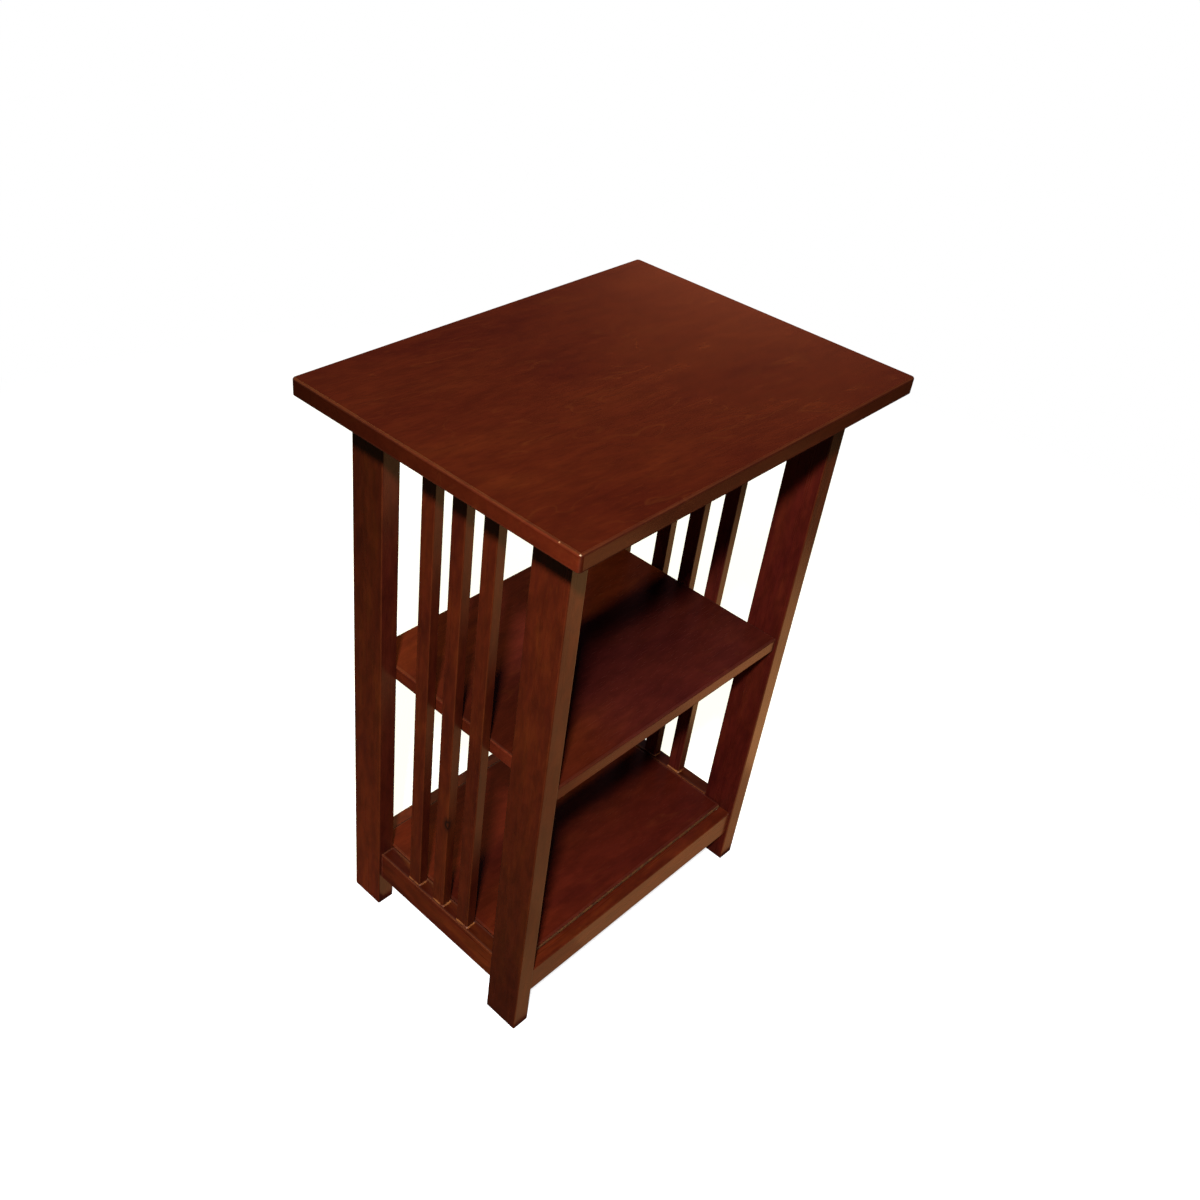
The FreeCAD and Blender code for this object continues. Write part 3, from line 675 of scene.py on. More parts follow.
    def material(self, piece: Piece) -> bpy.types.Material:
        """Make the finish for one piece.

        Args:
            piece: the piece that is dressed.

        Returns:
            Its material.
        """
        sheet = Paint(piece.node.name)
        field = WoodField(sheet, piece)
        streak = sheet.noise(field.fibre(*self.streak_scale), 3.0, 0.65)
        pore = sheet.fade(sheet.noise(field.fibre(*self.pore_scale), 1.0), *self.pore_span)
        colour = self.figure(field, self.clouds(field))
        colour = sheet.shaded(colour, streak, self.streak_span, self.streak_strength)
        ends = field.facing(piece.grain, self.end_span)
        for mask, strength in ((pore, self.pore_strength), (ends, self.end_strength)):
            colour = sheet.blend(sheet.math("MULTIPLY", mask, strength), colour, self.tones.deep)
        # Painted light and shade on the faces towards the table's ends.
        colour = sheet.scaled(colour, field.painted_end_light(self.end_light_span))
        colour = sheet.scaled(colour, piece.tone)
        # Painted light and shade, one step after another.
        for step in piece.steps:
            colour = step.paint(sheet, field.local, colour)
        colour = self.edges(field, colour)
        for mark in piece.marks:
            colour = mark.paint(sheet, field.place, colour)
        values = {
            "Base Color": colour,
            "Roughness": self.roughness(field, streak, pore),
            "Specular IOR Level": self.specular,
            "Specular Tint": self.specular_tint,
            "Normal": self.relief(field, streak, pore),
        }
        return sheet.cover(values)


@dataclass(frozen=True)
class BareWood:
    """Planed wood without stain, as on cleats and dowels."""

    light: Colour
    dark: Colour
    roughness: float = 0.62
    roughness_swing: float = 0.08
    ring_scale: Span = (3.0, 130.0)
    ring_height: float = 30e-6
    pore_scale: Span = (110.0, 1600.0)
    pore_strength: float = 0.4

    def material(self, piece: Piece) -> bpy.types.Material:
        """Make the finish for one piece.

        Args:
            piece: the piece that is dressed.

        Returns:
            Its material.
        """
        sheet = Paint(piece.node.name)
        field = WoodField(sheet, piece)
        rings = sheet.noise(field.fibre(*self.ring_scale), 3.0, 0.6, 0.4)
        pore = sheet.fade(sheet.noise(field.fibre(*self.pore_scale), 1.0), 0.6, 0.75)
        colour = sheet.ramp(rings, ((0.3, self.dark), (0.6, self.light)))
        colour = sheet.blend(sheet.math("MULTIPLY", pore, self.pore_strength), colour, self.dark)
        low, high = self.roughness - self.roughness_swing, self.roughness + self.roughness_swing
        rough = sheet.fade(rings, 0.2, 0.8, low, high)
        normal = sheet.bump(sheet.math("MULTIPLY", rings, self.ring_height))
        return sheet.cover({"Base Color": colour, "Roughness": rough, "Normal": normal})


@dataclass(frozen=True)
class ZincPlate:
    """Thin zinc plate on steel, with a faint yellow cast and dull spots."""

    bright: Colour = (0.62, 0.58, 0.47)
    dull: Colour = (0.40, 0.38, 0.33)
    roughness: Span = (0.42, 0.28)
    spot_repeats: float = 600.0
    scratch_scale: Span = (2500.0, 300.0)
    scratch_height: float = 6e-6

    def material(self, piece: Piece) -> bpy.types.Material:
        """Make the finish for one piece.

        Args:
            piece: the piece that is dressed.

        Returns:
            Its material.
        """
        sheet = Paint(piece.node.name)
        field = WoodField(sheet, piece)
        spots = sheet.noise(sheet.zoom(field.local, self.spot_repeats), 3.0)
        scratches = sheet.noise(field.fibre(*self.scratch_scale))
        values = {
            "Base Color": sheet.ramp(spots, ((0.35, self.dull), (0.65, self.bright))),
            "Metallic": 1.0,
            "Roughness": sheet.fade(spots, 0.3, 0.7, *self.roughness),
            "Normal": sheet.bump(sheet.math("MULTIPLY", scratches, self.scratch_height)),
        }
        return sheet.cover(values)


@dataclass(frozen=True)
class DriedGlue:
    """Clear amber glue and finish that has set in a corner."""

    thin: Colour = (0.15, 0.032, 0.009)
    thick: Colour = (0.36, 0.12, 0.030)
    roughness: float = 0.45
    roughness_swing: float = 0.07
    pool_repeats: float = 140.0
    wrinkle_repeats: float = 700.0
    wrinkle_height: float = 60e-6

    def material(self, name: str) -> bpy.types.Material:
        """Make the finish.

        Args:
            name: the bead's name.

        Returns:
            The material.
        """
        sheet = Paint(name)
        place = sheet.add("ShaderNodeTexCoord").outputs["Object"]
        pooled = sheet.noise(sheet.zoom(place, self.pool_repeats), 3.0)
        wrinkles = sheet.noise(sheet.zoom(place, self.wrinkle_repeats))
        low, high = self.roughness - self.roughness_swing, self.roughness + self.roughness_swing
        values = {
            "Base Color": sheet.ramp(pooled, ((0.35, self.thin), (0.62, self.thick))),
            "Roughness": sheet.fade(pooled, 0.3, 0.7, high, low),
            "Normal": sheet.bump(sheet.math("MULTIPLY", wrinkles, self.wrinkle_height)),
        }
        return sheet.cover(values)


TOP_STAIN = StainedWood(
    Tones((0.052, 0.0062, 0.0021), (0.064, 0.0086, 0.0025), (0.076, 0.0116, 0.0030), (0.160, 0.0420, 0.0100)),
    cloud_scale=(6.0, 15.0),
    cloud_reach=0.20,
    wisp_scale=(11.0, 40.0),
    wisp_strength=0.16,
    flame_strength=0.26,
    mottle_strength=0.13,
    fleck_strength=0.45,
    edge_wear_and_highlight=0.38,
    specular=0.30,
    specular_tint=(1.0, 0.60, 0.45),
    sheen_roughness=0.20,
    edge_dulling=0.76,
)
SHELF_STAIN = StainedWood(
    Tones((0.048, 0.0062, 0.0048), (0.066, 0.0090, 0.0057), (0.086, 0.0132, 0.0066), (0.160, 0.0440, 0.0100)),
    cloud_scale=(5.0, 13.0),
    cloud_reach=0.20,
    wisp_scale=(10.0, 40.0),
    wisp_strength=0.10,
    flame_strength=0.35,
    mottle_strength=0.16,
    fleck_strength=0.06,
    streak_strength=0.04,
    pore_strength=0.05,
    relief_strength=0.10,
    edge_wear_and_highlight=0.20,
    specular=0.32,
    specular_tint=(1.0, 0.60, 0.45),
    sheen_roughness=0.25,
    edge_dulling=0.72,
)
PANEL_STAIN = replace(
    SHELF_STAIN,
    tones=Tones(
        (0.068, 0.0076, 0.0040), (0.092, 0.0108, 0.0046), (0.120, 0.0170, 0.0054), (0.190, 0.0520, 0.0110)
    ),
    edge_wear_and_highlight=0.06,
)
FRAME_STAIN = StainedWood(
    Tones((0.066, 0.0072, 0.0030), (0.096, 0.0125, 0.0034), (0.128, 0.0212, 0.0040), (0.200, 0.0540, 0.0120))
)
# The end rails' arrises are lighter and orange: worn stain and a painted highlight along them.
RAIL_STAIN = replace(FRAME_STAIN, edge_wear_and_highlight=0.4, edge_dulling=0.62, specular_tint=(1.0, 0.70, 0.55))
CLEAT_WOOD = BareWood((0.46, 0.29, 0.15), (0.30, 0.17, 0.08))
DOWEL_WOOD = BareWood((0.58, 0.38, 0.21), (0.42, 0.26, 0.13), 0.55)
SCREW_PLATE = ZincPlate()
GLUE = DriedGlue()
STEP_FINISH = DriedGlue((0.090, 0.026, 0.004), (0.15, 0.050, 0.006), 0.85)

Finish = StainedWood | BareWood | ZincPlate


def dress(piece: Piece, finish: Finish) -> None:
    """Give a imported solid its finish.

    Args:
        piece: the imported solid.
        finish: what it gets.
    """
    for slot in piece.node.material_slots:
        slot.material = finish.material(piece)
    log.info("%s dressed with %s", piece.node.name, type(finish).__name__)


def strip(name: str, rings: np.ndarray, looped: bool) -> bpy.types.Object:
    """Make an object from rings of points, joined in order.

    Each point and its neighbour make a face with the same two of the next ring. The faces are
    turned round where the sum of their corners' triple products, a volume, comes out negative.

    Args:
        name: the object's name.
        rings: points in an array of ring, place on the ring and coordinate.
        looped: whether the last ring joins the first; if not, both ends are capped.

    Returns:
        The object, with its faces turned outwards.
    """
    count, around = rings.shape[:2]
    joined = count if looped else count - 1
    ring, place = np.meshgrid(np.arange(joined), np.arange(around), indexing="ij")
    here, after = ring * around, (ring + 1) % count * around
    beside = (place + 1) % around
    quads = np.stack([here + place, after + place, after + beside, here + beside], axis=-1).reshape(-1, 4)
    points = rings.reshape(-1, 3)
    first, second, third, fourth = (points - points.mean(axis=0))[quads.T]
    volume = np.sum(first * (np.cross(second, third) + np.cross(third, fourth)))
    faces = quads.tolist()
    if not looped:
        faces += [list(range(around))[::-1], list(range((count - 1) * around, count * around))]
    if volume < 0:
        faces = [face[::-1] for face in faces]
    mesh = bpy.data.meshes.new(name)
    mesh.from_pydata(points.tolist(), [], faces)
    mesh.shade_smooth()
    piece = bpy.data.objects.new(name, mesh)
    bpy.context.scene.collection.objects.link(piece)
    return piece


def rounded_corner(roundness: float, steps: int = 7) -> tuple[np.ndarray, np.ndarray]:
    """Return a bead's section as shares of its width and height.

    It runs on a superellipse, a = cos^k and b = sin^k, from one leg of the corner to the other
    and ends in the corner itself.

    Args:
        roundness: the exponent k; 1 gives a quarter circle and more gives a hollow bead.
        steps: how many points lie on the curve.

    Returns:
        The shares of the width and of the height.
    """
    angle = np.linspace(0.0, math.pi / 2, steps)
    return np.append(np.cos(angle) ** roundness, 0.0), np.append(np.sin(angle) ** roundness, 0.0)


@dataclass(frozen=True)
class SlatBead:
    """The bead of glue and finish in the corner round the foot of a slat."""

    name: str
    centre: Point
    heavy: Span
    seed: int
    half_x: float = 0.006
    half_y: float = 0.009
    corner: float = 0.001
    clearance: float = 0.00003
    width: float = 0.0015
    height: float = 0.0016
    roundness: float = 1.45
    arc_points: int = 5
    side_points: int = 14
    mean: float = 0.62
    lean: float = 0.42
    unevenness: float = 0.175
    least: float = 0.12
    most: float = 1.15

    def outline(self) -> tuple[np.ndarray, np.ndarray]:
        """Return points and outward normals round the slat's section.

        At each corner the normal turns through a quarter circle about the corner's centre,
        and between corners the point moves on with the normal held.

        Returns:
            Two arrays of two columns.
        """
        share = np.linspace(0.0, 1.0, self.arc_points)
        turn = (np.arange(4)[:, None] + share[None, :]) * math.pi / 2
        arcs = np.stack([np.cos(turn), np.sin(turn)], axis=-1)
        signs = np.array([[1, 1], [-1, 1], [-1, -1], [1, -1]], float)
        centres = signs * np.array([self.half_x - self.corner, self.half_y - self.corner])
        share = np.linspace(0.0, 1.0, self.side_points + 2)[1:-1]
        following = np.roll(centres, -1, axis=0)
        runs = centres[:, None] + (following - centres)[:, None] * share[None, :, None]
        normals = np.concatenate([arcs, np.repeat(arcs[:, -1:], self.side_points, axis=1)], axis=1)
        cores = np.concatenate([np.repeat(centres[:, None], self.arc_points, axis=1), runs], axis=1)
        points = cores + self.corner * normals
        return points.reshape(-1, 2), normals.reshape(-1, 2)

    def swell(self, points: np.ndarray, normals: np.ndarray) -> np.ndarray:
        """Return how full the bead is at each point.

        It is fuller on its heavy side, and five seeded sine waves round the slat, each lower
        the shorter it is, make it uneven.

        Args:
            points: places round the slat.
            normals: their outward normals.

        Returns:
            The fullness, where 1 is the bead's nominal size.
        """
        random = np.random.default_rng(self.seed)
        angle = np.arctan2(points[:, 1], points[:, 0])
        waves = np.arange(2, 7)
        phase = random.uniform(0, 2 * math.pi, waves.size)
        uneven = np.sin(angle[:, None] * waves + phase) @ (self.unevenness / waves)
        side = normals @ np.array(self.heavy)
        return np.clip(self.mean + self.lean * side + uneven, self.least, self.most)

    def build(self) -> None:
        """Make the bead.

        Its section is a rounded corner, with its width away from the slat and its height up it.
        """
        points, normals = self.outline()
        full = self.swell(points, normals)
        out, rise = rounded_corner(self.roundness)
        reach = self.clearance + out[None, :] * self.width * full[:, None]
        level = self.clearance + rise[None, :] * self.height * full[:, None]
        flat = points[:, None, :] + normals[:, None, :] * reach[..., None]
        rings = np.concatenate([flat, level[..., None]], axis=-1) + np.array(self.centre)
        bead = strip(self.name, rings, looped=True)
        bead.data.materials.append(GLUE.material(self.name))
        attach(bead, "root")
        log.info("%s built", self.name)


@dataclass(frozen=True)
class StepBead:
    """The finish that has set in the step from the bottom panel down to a long rail."""

    face: Face
    half_length: float = 0.1765
    panel_edge: float = 0.1185
    rail_top: float = 0.083
    clearance: float = 0.00003
    width: float = 0.0017
    height: float = 0.0030
    roundness: float = 1.15
    mean: float = 0.86
    unevenness: float = 0.06
    waves: tuple[int, ...] = (3, 7, 12, 19, 31)
    first_seed: int = 7
    steps: int = 140

    def build(self) -> None:
        """Make the bead.

        Its section is a rounded corner, with its width over the gap and its height up the
        panel's edge; both swell and thin along the rail by a sum of seeded sine waves.
        """
        random = np.random.default_rng(self.first_seed + self.face.value)
        share = np.linspace(0.0, 1.0, self.steps)
        waves = np.array(self.waves)
        phase = random.uniform(0, 2 * math.pi, waves.size)
        weights = self.unevenness / np.sqrt(waves / waves[0])
        full = self.mean + np.sin(share[:, None] * waves * 2 * math.pi + phase) @ weights
        out, rise = rounded_corner(self.roundness)
        reach = self.panel_edge + self.clearance + out[None, :] * self.width * full[:, None]
        level = self.rail_top + self.clearance + rise[None, :] * self.height * full[:, None]
        along = np.broadcast_to(((share * 2 - 1) * self.half_length)[:, None], reach.shape)
        rings = np.stack([along, self.face.value * reach, level], axis=-1)
        bead = strip(f"step_bead_{self.face.word}", rings, looped=False)
        bead.data.materials.append(STEP_FINISH.material(bead.name))
        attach(bead, "root")
        log.info("%s built", bead.name)


@dataclass
class Tabletop:
    """The board on top, its figure a little askew to its sides, with painted highlights on the arris at one
    corner.
    """

    nodes: dict[str, bpy.types.Object]
    figure_turn: float = math.radians(11.0)
    # Painted light and shade: the board's end faces are lighter at the front and darker at the rear.
    top_end_face_light: Span = (2.75, 0.57)
    # Painted highlights: two light spots on the arris near the front left corner.
    highlight_spots: tuple[HighlightSpot, ...] = (
        HighlightSpot((-0.2375, -0.1760, 0.6853), 0.0018),
        HighlightSpot((-0.2373, -0.1540, 0.6855), 0.0010, (0.36, 0.17, 0.08)),
    )

    def dress(self) -> None:
        """Stain the board."""
        piece = Piece(
            self.nodes["tabletop"],
            Axis.X,
            seed=1,
            turn=self.figure_turn,
            marks=self.highlight_spots,
            end_face_light=self.top_end_face_light,
            side_axis=Axis.Y,
        )
        dress(piece, TOP_STAIN)


@dataclass
class Shelves:
    """The middle shelf and the bottom panel."""

    nodes: dict[str, bpy.types.Object]
    shelf_turn: float = math.radians(-4.0)
    shelf_tone: float = 1.28
    # Painted light and shade: the shelf's end faces are lighter at the front than at the rear.
    shelf_end_face_light: Span = (4.3, 1.16)
    # Painted light and shade on the shelf: shade over its middle, where the top shades it, light on its rear,
    # where the overhead lamp reaches, a warmer, less blue left end, where the key lamp shines in through the
    # slats, shade at its right end, and light on its front edge.
    shelf_painted_light: tuple[PaintedLightStep, ...] = (
        PaintedLightStep(Axis.Y, -0.130, -0.030, (0.62, 0.62, 0.62)),
        PaintedLightStep(Axis.Y, -0.005, 0.030, (1.70, 1.70, 1.70)),
        PaintedLightStep(Axis.X, -0.040, -0.130, (1.08, 1.12, 0.58)),
        PaintedLightStep(Axis.X, 0.125, 0.165, (0.82, 0.78, 0.75)),
        PaintedLightStep(Axis.Y, -0.1352, -0.1358, (1.20, 1.18, 1.14)),
    )
    panel_turn: float = math.radians(5.0)
    panel_tone: float = 1.2
    # Painted light and shade on the panel: shade under the middle shelf, light behind, where the overhead
    # lamp reaches, and a warmer, less blue left end, where the key lamp shines in through the slats.
    panel_painted_light: tuple[PaintedLightStep, ...] = (
        PaintedLightStep(Axis.Y, -0.085, -0.028, (0.60, 0.60, 0.60)),
        PaintedLightStep(Axis.Y, -0.010, 0.030, (1.35, 1.35, 1.35)),
        PaintedLightStep(Axis.X, -0.060, -0.140, (1.08, 1.10, 0.85)),
    )
    # Painted lines: a highlight along the panel's left arris, and shade in the gap along its rear edge.
    panel_painted_lines: tuple[PaintedLine, ...] = (
        PaintedLine((-0.1768, 0.0665, 0.0868), (-0.1768, 0.0930, 0.0868), 0.0012, 0.5),
        PaintedLine((-0.1765, 0.1180, 0.0868), (0.1765, 0.1180, 0.0868), 0.0017, 0.9, (0.008, 0.002, 0.002)),
    )

    def build(self) -> None:
        """Make the bead in the step in front of the panel."""
        StepBead(Face.FRONT).build()

    def dress(self) -> None:
        """Stain both boards."""
        shelf = Piece(
            self.nodes["middle_shelf"],
            Axis.X,
            seed=2,
            turn=self.shelf_turn,
            tone=self.shelf_tone,
            end_face_light=self.shelf_end_face_light,
            side_axis=Axis.Y,
            steps=self.shelf_painted_light,
        )
        dress(shelf, SHELF_STAIN)
        panel = Piece(
            self.nodes["bottom_shelf_panel"],
            Axis.X,
            seed=3,
            turn=self.panel_turn,
            marks=self.panel_painted_lines,
            tone=self.panel_tone,
            steps=self.panel_painted_light,
        )
        dress(panel, PANEL_STAIN)


@dataclass(frozen=True)
class EndLook:
    """The seeds of one end frame and its painted light and shade: how light its faces are, and where shaded
    faces are darker and more violet.

    A pair of tones is painted light and shade on the faces towards the table's ends, at the foot and at the
    top.
    """

    first_seed: int
    bead_seed: int
    leg_end_face_light: dict[Face, Span]
    leg_painted_shade: dict[Face, tuple[PaintedLightStep, ...]]
    slat_painted_shade: tuple[PaintedLightStep, ...]
    # The end rails' darker tone: partly their stain, and at the right end painted shade, where the middle
    # shelf shades the rail's top.
    rail_shade_tone: float
    knots: dict[int, tuple[PinKnot, ...]]


# Painted shade: the front faces of the rear legs and the slats, and the inner faces of the right legs and
# slats, are darker and more violet, as they lie in shade.
REAR_LEG_FRONT_SHADE = PaintedLightStep(Axis.Y, -0.0216, -0.0219, (0.82, 0.86, 1.45))
RIGHT_LEG_INSIDE_SHADE = PaintedLightStep(Axis.X, -0.0106, -0.0109, (1.0, 0.80, 1.7))
SLAT_FRONT_SHADE = PaintedLightStep(Axis.Y, -0.0086, -0.0089, (0.80, 0.86, 1.05))
RIGHT_SLAT_INSIDE_SHADE = PaintedLightStep(Axis.X, -0.0056, -0.0059, (0.90, 0.85, 1.9))

END_LOOKS = {
    Side.LEFT: EndLook(
        first_seed=20,
        bead_seed=10,
        leg_end_face_light={Face.FRONT: (0.94, 1.24), Face.REAR: (2.3, 0.54)},
        leg_painted_shade={Face.FRONT: (), Face.REAR: (REAR_LEG_FRONT_SHADE,)},
        slat_painted_shade=(SLAT_FRONT_SHADE,),
        rail_shade_tone=0.70,
        knots={2: (PinKnot((-0.193, -0.0085, 0.2215)),)},
    ),
    Side.RIGHT: EndLook(
        first_seed=40,
        bead_seed=30,
        leg_end_face_light={Face.FRONT: (0.85, 1.0), Face.REAR: (1.0, 1.0)},
        leg_painted_shade={Face.FRONT: (RIGHT_LEG_INSIDE_SHADE,), Face.REAR: (REAR_LEG_FRONT_SHADE,)},
        slat_painted_shade=(SLAT_FRONT_SHADE, RIGHT_SLAT_INSIDE_SHADE),
        rail_shade_tone=0.56,
        knots={},
    ),
}


@dataclass
class EndFrame:
    """One end: two legs, two rails and three slats, with beads of glue at the slats' feet.

    Slats count from the front. A bead's heavy side is given along X and Y.
    """

    nodes: dict[str, bpy.types.Object]
    side: Side
    slat_pitch: float = 0.040
    slat_x: float = 0.187
    rail_top: float = 0.087
    bead_heavy_sides: tuple[Span, ...] = ((-0.8, -0.8), (-0.2, -1.0), (-0.3, -1.0))
    # Painted light on the slats' faces towards the table's ends, at the foot and at the top.
    slat_end_face_light: tuple[Span, ...] = ((1.35, 1.1), (1.50, 1.1), (1.65, 1.1))
    slat_seed: int = 3
    rail_seed: int = 8
    # Painted shade: the end rails get darker towards the rear, where the slats shade their tops.
    rail_rearward_shade: float = -0.14
    # Painted light on the end rails' faces towards the table's ends.
    rail_end_face_light: Span = (2.5, 2.5)

    def build(self) -> None:
        """Make the beads round the slats' feet."""
        for number, heavy in enumerate(self.bead_heavy_sides, start=1):
            name = f"slat_bead_{self.side.word}_{number}"
            place = (self.side.value * self.slat_x, (number - 2) * self.slat_pitch, self.rail_top)
            SlatBead(name, place, heavy, END_LOOKS[self.side].bead_seed + number).build()

    def dress(self) -> None:
        """Stain the legs, the rails and the slats."""
        look = END_LOOKS[self.side]
        for face in Face:
            leg = Piece(
                self.nodes[f"leg_{face.word}_{self.side.word}"],
                Axis.Z,
                look.first_seed + face.value,
                end_face_light=look.leg_end_face_light[face],
                steps=look.leg_painted_shade[face],
            )
            dress(leg, FRAME_STAIN)
        for number, tones in enumerate(self.slat_end_face_light, start=1):
            slat = Piece(
                self.nodes[f"slat_{self.side.word}_{number}"],
                Axis.Z,
                look.first_seed + self.slat_seed + number,
                marks=look.knots.get(number, ()),
                end_face_light=tones,
                steps=look.slat_painted_shade,
            )
            dress(slat, FRAME_STAIN)
        for number, level in enumerate(("lower", "upper")):
            rail = Piece(
                self.nodes[f"{level}_end_rail_{self.side.word}"],
                Axis.Y,
                look.first_seed + self.rail_seed + number,
                self.rail_rearward_shade,
                tone=look.rail_shade_tone,
                end_face_light=self.rail_end_face_light,
            )
            dress(rail, RAIL_STAIN)


@dataclass
class LongRails:
    """The rails that join the end frames, front and rear, low and high, with their seeds."""

    nodes: dict[str, bpy.types.Object]
    tone: float = 1.2
    rails: tuple[tuple[str, int], ...] = (
        ("lower_long_rail_front", 59),
        ("lower_long_rail_rear", 61),
        ("upper_long_rail_front", 62),
        ("upper_long_rail_rear", 64),
    )

    def dress(self) -> None:
        """Stain the rails."""
        for name, seed in self.rails:
            dress(Piece(self.nodes[name], Axis.X, seed, tone=self.tone), FRAME_STAIN)


@dataclass
class Fittings:
    """Cleats, dowels and screws, which the joints mostly hide, with their grain and seeds."""

    nodes: dict[str, bpy.types.Object]
    fittings: tuple[tuple[str, Axis, int, Finish], ...] = (
        ("panel_cleat_front", Axis.X, 70, CLEAT_WOOD),
        ("panel_cleat_rear", Axis.X, 71, CLEAT_WOOD),
        ("panel_cleat_left", Axis.Y, 72, CLEAT_WOOD),
        ("panel_cleat_right", Axis.Y, 73, CLEAT_WOOD),
        ("end_frame_dowels_left", Axis.Y, 80, DOWEL_WOOD),
        ("end_frame_dowels_right", Axis.Y, 81, DOWEL_WOOD),
        ("long_rail_dowels", Axis.X, 84, DOWEL_WOOD),
        ("middle_shelf_dowels", Axis.X, 85, DOWEL_WOOD),
        ("tabletop_screws", Axis.Z, 90, SCREW_PLATE),
        ("cleat_screws", Axis.Z, 91, SCREW_PLATE),
        ("panel_screws", Axis.Z, 92, SCREW_PLATE),
    )

    def dress(self) -> None:
        """Finish the cleats, the dowels and the screws."""
        for name, grain, seed, finish in self.fittings:
            dress(Piece(self.nodes[name], grain, seed), finish)


@dataclass(frozen=True)
class Lamp:
    """A soft rectangular lamp, unseen by the camera."""

    name: str
    place: Point
    aim: Point
    size: Span
    watts: float
    colour: Colour = WHITE

    def build(self) -> None:
        """Hang the lamp and point it."""
        data = bpy.data.lights.new(self.name, "AREA")
        data.shape = "RECTANGLE"
        data.size, data.size_y = self.size
        data.energy = self.watts
        data.color = self.colour
        lamp = bpy.data.objects.new(self.name, data)
        lamp.location = self.place
        lamp.rotation_euler = (Vector(self.aim) - Vector(self.place)).to_track_quat("-Z", "Y").to_euler()
        lamp.visible_camera = False
        bpy.context.scene.collection.objects.link(lamp)


@dataclass(frozen=True)
class RoomGlow:
    """A round glow in the dim room, with its angles in degrees."""

    azimuth: float
    elevation: float
    full_within: float
    gone_beyond: float
    colour: Colour

    def paint(self, sheet: Sheet, direction: Socket, room: Input) -> Socket:
        """Lay the glow over the room.

        Args:
            sheet: the world's tree.
            direction: the direction looked in.
            room: the room's colour so far.

        Returns:
            The room's colour with the glow.
        """
        turn, rise = math.radians(self.azimuth), math.radians(self.elevation)
        centre = (math.cos(rise) * math.cos(turn), math.cos(rise) * math.sin(turn), math.sin(rise))
        inner, outer = (math.cos(math.radians(angle)) for angle in (self.full_within, self.gone_beyond))
        share = sheet.fade(sheet.dot(direction, centre), outer, inner)
        return sheet.blend(share, room, self.colour)


@dataclass(frozen=True)
class FloorPatch:
    """A part of the floor that throws warm light back up, so many watts per square metre."""

    x: float
    y: float
    width: float
    depth: float
    strength: float
    height: float = 0.004
    colour: Colour = (1.0, 0.47, 0.18)

    def build(self, name: str) -> None:
        """Make a lamp that shines straight up from this part.

        Args:
            name: the lamp's name.
        """
        watts = self.strength * self.width * self.depth
        place, aim = (self.x, self.y, self.height), (self.x, self.y, 1.0)
        Lamp(name, place, aim, (self.width, self.depth), watts, self.colour).build()


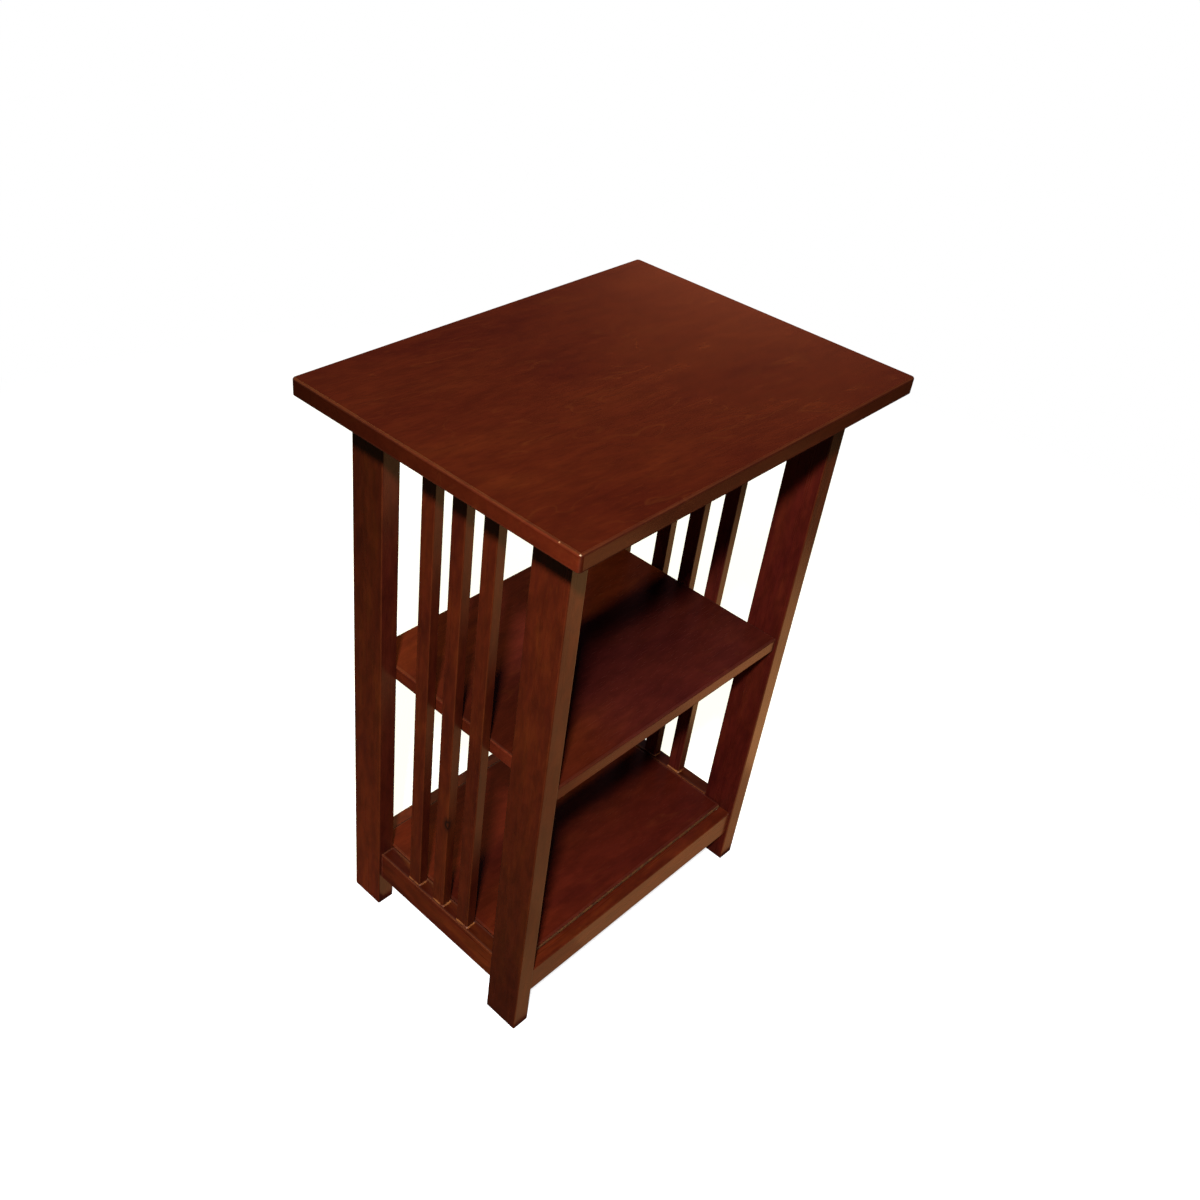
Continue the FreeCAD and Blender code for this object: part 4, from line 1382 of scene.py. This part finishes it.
@dataclass
class Studio:
    """A plain white floor under soft lamps, with the camera high at the front left corner."""

    floor_radius: float = 6.0
    floor_level: float = -0.0004
    floor_sides: int = 96
    white_span: Span = (0.8, 1.6)
    floor_glow: float = 0.80
    floor_catch: Colour = (0.85, 0.85, 0.85)
    floor_bounce: Colour = (0.06, 0.035, 0.022)
    ambient: Colour = (0.015, 0.017, 0.036)
    glows: tuple[RoomGlow, ...] = (RoomGlow(31.9, 9.4, 9.0, 12.2, (2.36, 0.62, 0.27)),)
    camera_place: Point = (-0.81921, -0.63959, 1.19845)
    camera_turn: Point = (51.64633, -3.90336, -44.30824)
    camera_lens: float = 36.6396
    camera_shift: Span = (0.08090, 0.02141)
    camera_clip: Span = (0.05, 50.0)
    lamps: tuple[Lamp, ...] = (
        Lamp("key_lamp", (-1.250, -0.866, 1.985), (0.0, 0.0, 0.45), (0.14, 0.14), 49.6),
        Lamp("overhead_lamp", (0.05, 1.330, 3.000), (0.0, 0.0, 0.4), (0.14, 0.14), 38.0, (1.0, 0.98, 0.30)),
        Lamp("rear_fill", (1.5, 1.5, 0.22), (0.0, 0.0, 0.30), (1.4, 0.36), 14.0),
    )
    floor_patches: tuple[FloorPatch, ...] = (
        FloorPatch(-0.165, 0.066, 0.05, 0.050, 1.90),
        FloorPatch(-0.135, -0.190, 0.15, 0.096, 1.40),
        FloorPatch(0.140, -0.191, 0.40, 0.098, 2.10),
        FloorPatch(0.450, -0.196, 0.22, 0.108, 4.90),
        FloorPatch(0.040, -0.330, 0.22, 0.18, 1.35),
        FloorPatch(0.265, -0.330, 0.23, 0.18, 2.36),
        FloorPatch(0.630, -0.330, 0.50, 0.18, 4.00),
        FloorPatch(0.250, -0.515, 0.30, 0.19, 1.55),
        FloorPatch(0.560, -0.515, 0.32, 0.19, 3.40),
        FloorPatch(0.500, -0.725, 0.36, 0.23, 3.04),
        FloorPatch(0.980, -0.660, 0.42, 0.36, 0.85),
        FloorPatch(1.420, -0.780, 0.46, 0.40, 0.19),
    )

    @staticmethod
    def seen_straight(sheet: Sheet) -> Socket:
        """Return 1 for what the camera sees, also through something clear, and 0 for other rays."""
        rays = sheet.add("ShaderNodeLightPath").outputs
        return sheet.math("MAXIMUM", rays["Is Camera Ray"], rays["Is Transmission Ray"])

    def floor_material(self) -> bpy.types.Material:
        """Make the floor's finish.

        To the camera the floor is white: near the table a glow with the lamps' light added,
        which keeps the shadow under the table, and plain white further out. Everything else
        meets a plain matt floor.

        Returns:
            The material.
        """
        sheet = Paint("floor")
        glow = sheet.shader("ShaderNodeEmission", WHITE, self.floor_glow)
        catch = sheet.shader("ShaderNodeBsdfDiffuse", self.floor_catch)
        near = sheet.shader("ShaderNodeAddShader", glow, catch)
        far = sheet.shader("ShaderNodeEmission", WHITE, 1.0)
        distance = sheet.length(sheet.add("ShaderNodeTexCoord").outputs["Object"])
        seen = sheet.shader("ShaderNodeMixShader", sheet.fade(distance, *self.white_span), near, far)
        bounce = sheet.shader("ShaderNodeBsdfDiffuse", self.floor_bounce)
        sheet.close(sheet.shader("ShaderNodeMixShader", self.seen_straight(sheet), bounce, seen))
        return sheet.material

    def build_floor(self) -> None:
        """Lay a round floor: one flat face, with its corners on a circle about the origin."""
        angle = np.linspace(0.0, 2 * math.pi, self.floor_sides, endpoint=False)
        radius, level = self.floor_radius, np.full_like(angle, self.floor_level)
        rim = np.stack([radius * np.cos(angle), radius * np.sin(angle), level], axis=-1)
        mesh = bpy.data.meshes.new("floor")
        mesh.from_pydata(rim.tolist(), [], [list(range(angle.size))])
        mesh.materials.append(self.floor_material())
        floor = bpy.data.objects.new("floor", mesh)
        bpy.context.scene.collection.objects.link(floor)

    def build_world(self) -> None:
        """Surround the scene with white to the camera and a dim room with a warm glow to the rest."""
        world = bpy.data.worlds.new("studio")
        world.use_nodes = True
        bpy.context.scene.world = world
        sheet = Sheet(world.node_tree)
        direction = sheet.add("ShaderNodeTexCoord").outputs["Generated"]
        room = self.ambient
        for glow in self.glows:
            room = glow.paint(sheet, direction, room)
        dim = sheet.shader("ShaderNodeBackground", room)
        white = sheet.shader("ShaderNodeBackground", WHITE)
        whole = sheet.shader("ShaderNodeMixShader", self.seen_straight(sheet), dim, white)
        sheet.close(whole, "ShaderNodeOutputWorld")

    def build_camera(self) -> None:
        """Stand the camera above the table's front left corner."""
        data = bpy.data.cameras.new("camera")
        data.lens = self.camera_lens
        data.shift_x, data.shift_y = self.camera_shift
        data.clip_start, data.clip_end = self.camera_clip
        camera = bpy.data.objects.new("camera", data)
        camera.location = self.camera_place
        camera.rotation_euler = [math.radians(angle) for angle in self.camera_turn]
        bpy.context.scene.collection.objects.link(camera)
        bpy.context.scene.camera = camera

    def build(self) -> None:
        """Set up the floor, the world, the lamps and the camera."""
        self.build_floor()
        self.build_world()
        for lamp in self.lamps:
            lamp.build()
        for number, patch in enumerate(self.floor_patches):
            patch.build(f"floor_patch_{number}")
        self.build_camera()
        bpy.context.scene.view_settings.view_transform = "Standard"
        log.info("studio set up with %d lamps", len(self.lamps) + len(self.floor_patches))


def main() -> None:
    """Dress the table and set up the studio."""
    logging.basicConfig(level=logging.INFO, format="%(name)s: %(message)s")
    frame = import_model()
    nodes = frame["nodes"]
    Tabletop(nodes).dress()
    for side in Side:
        end = EndFrame(nodes, side)
        end.build()
        end.dress()
    LongRails(nodes).dress()
    shelves = Shelves(nodes)
    shelves.build()
    shelves.dress()
    Fittings(nodes).dress()
    Studio().build()


if __name__ == "__main__":
    main()
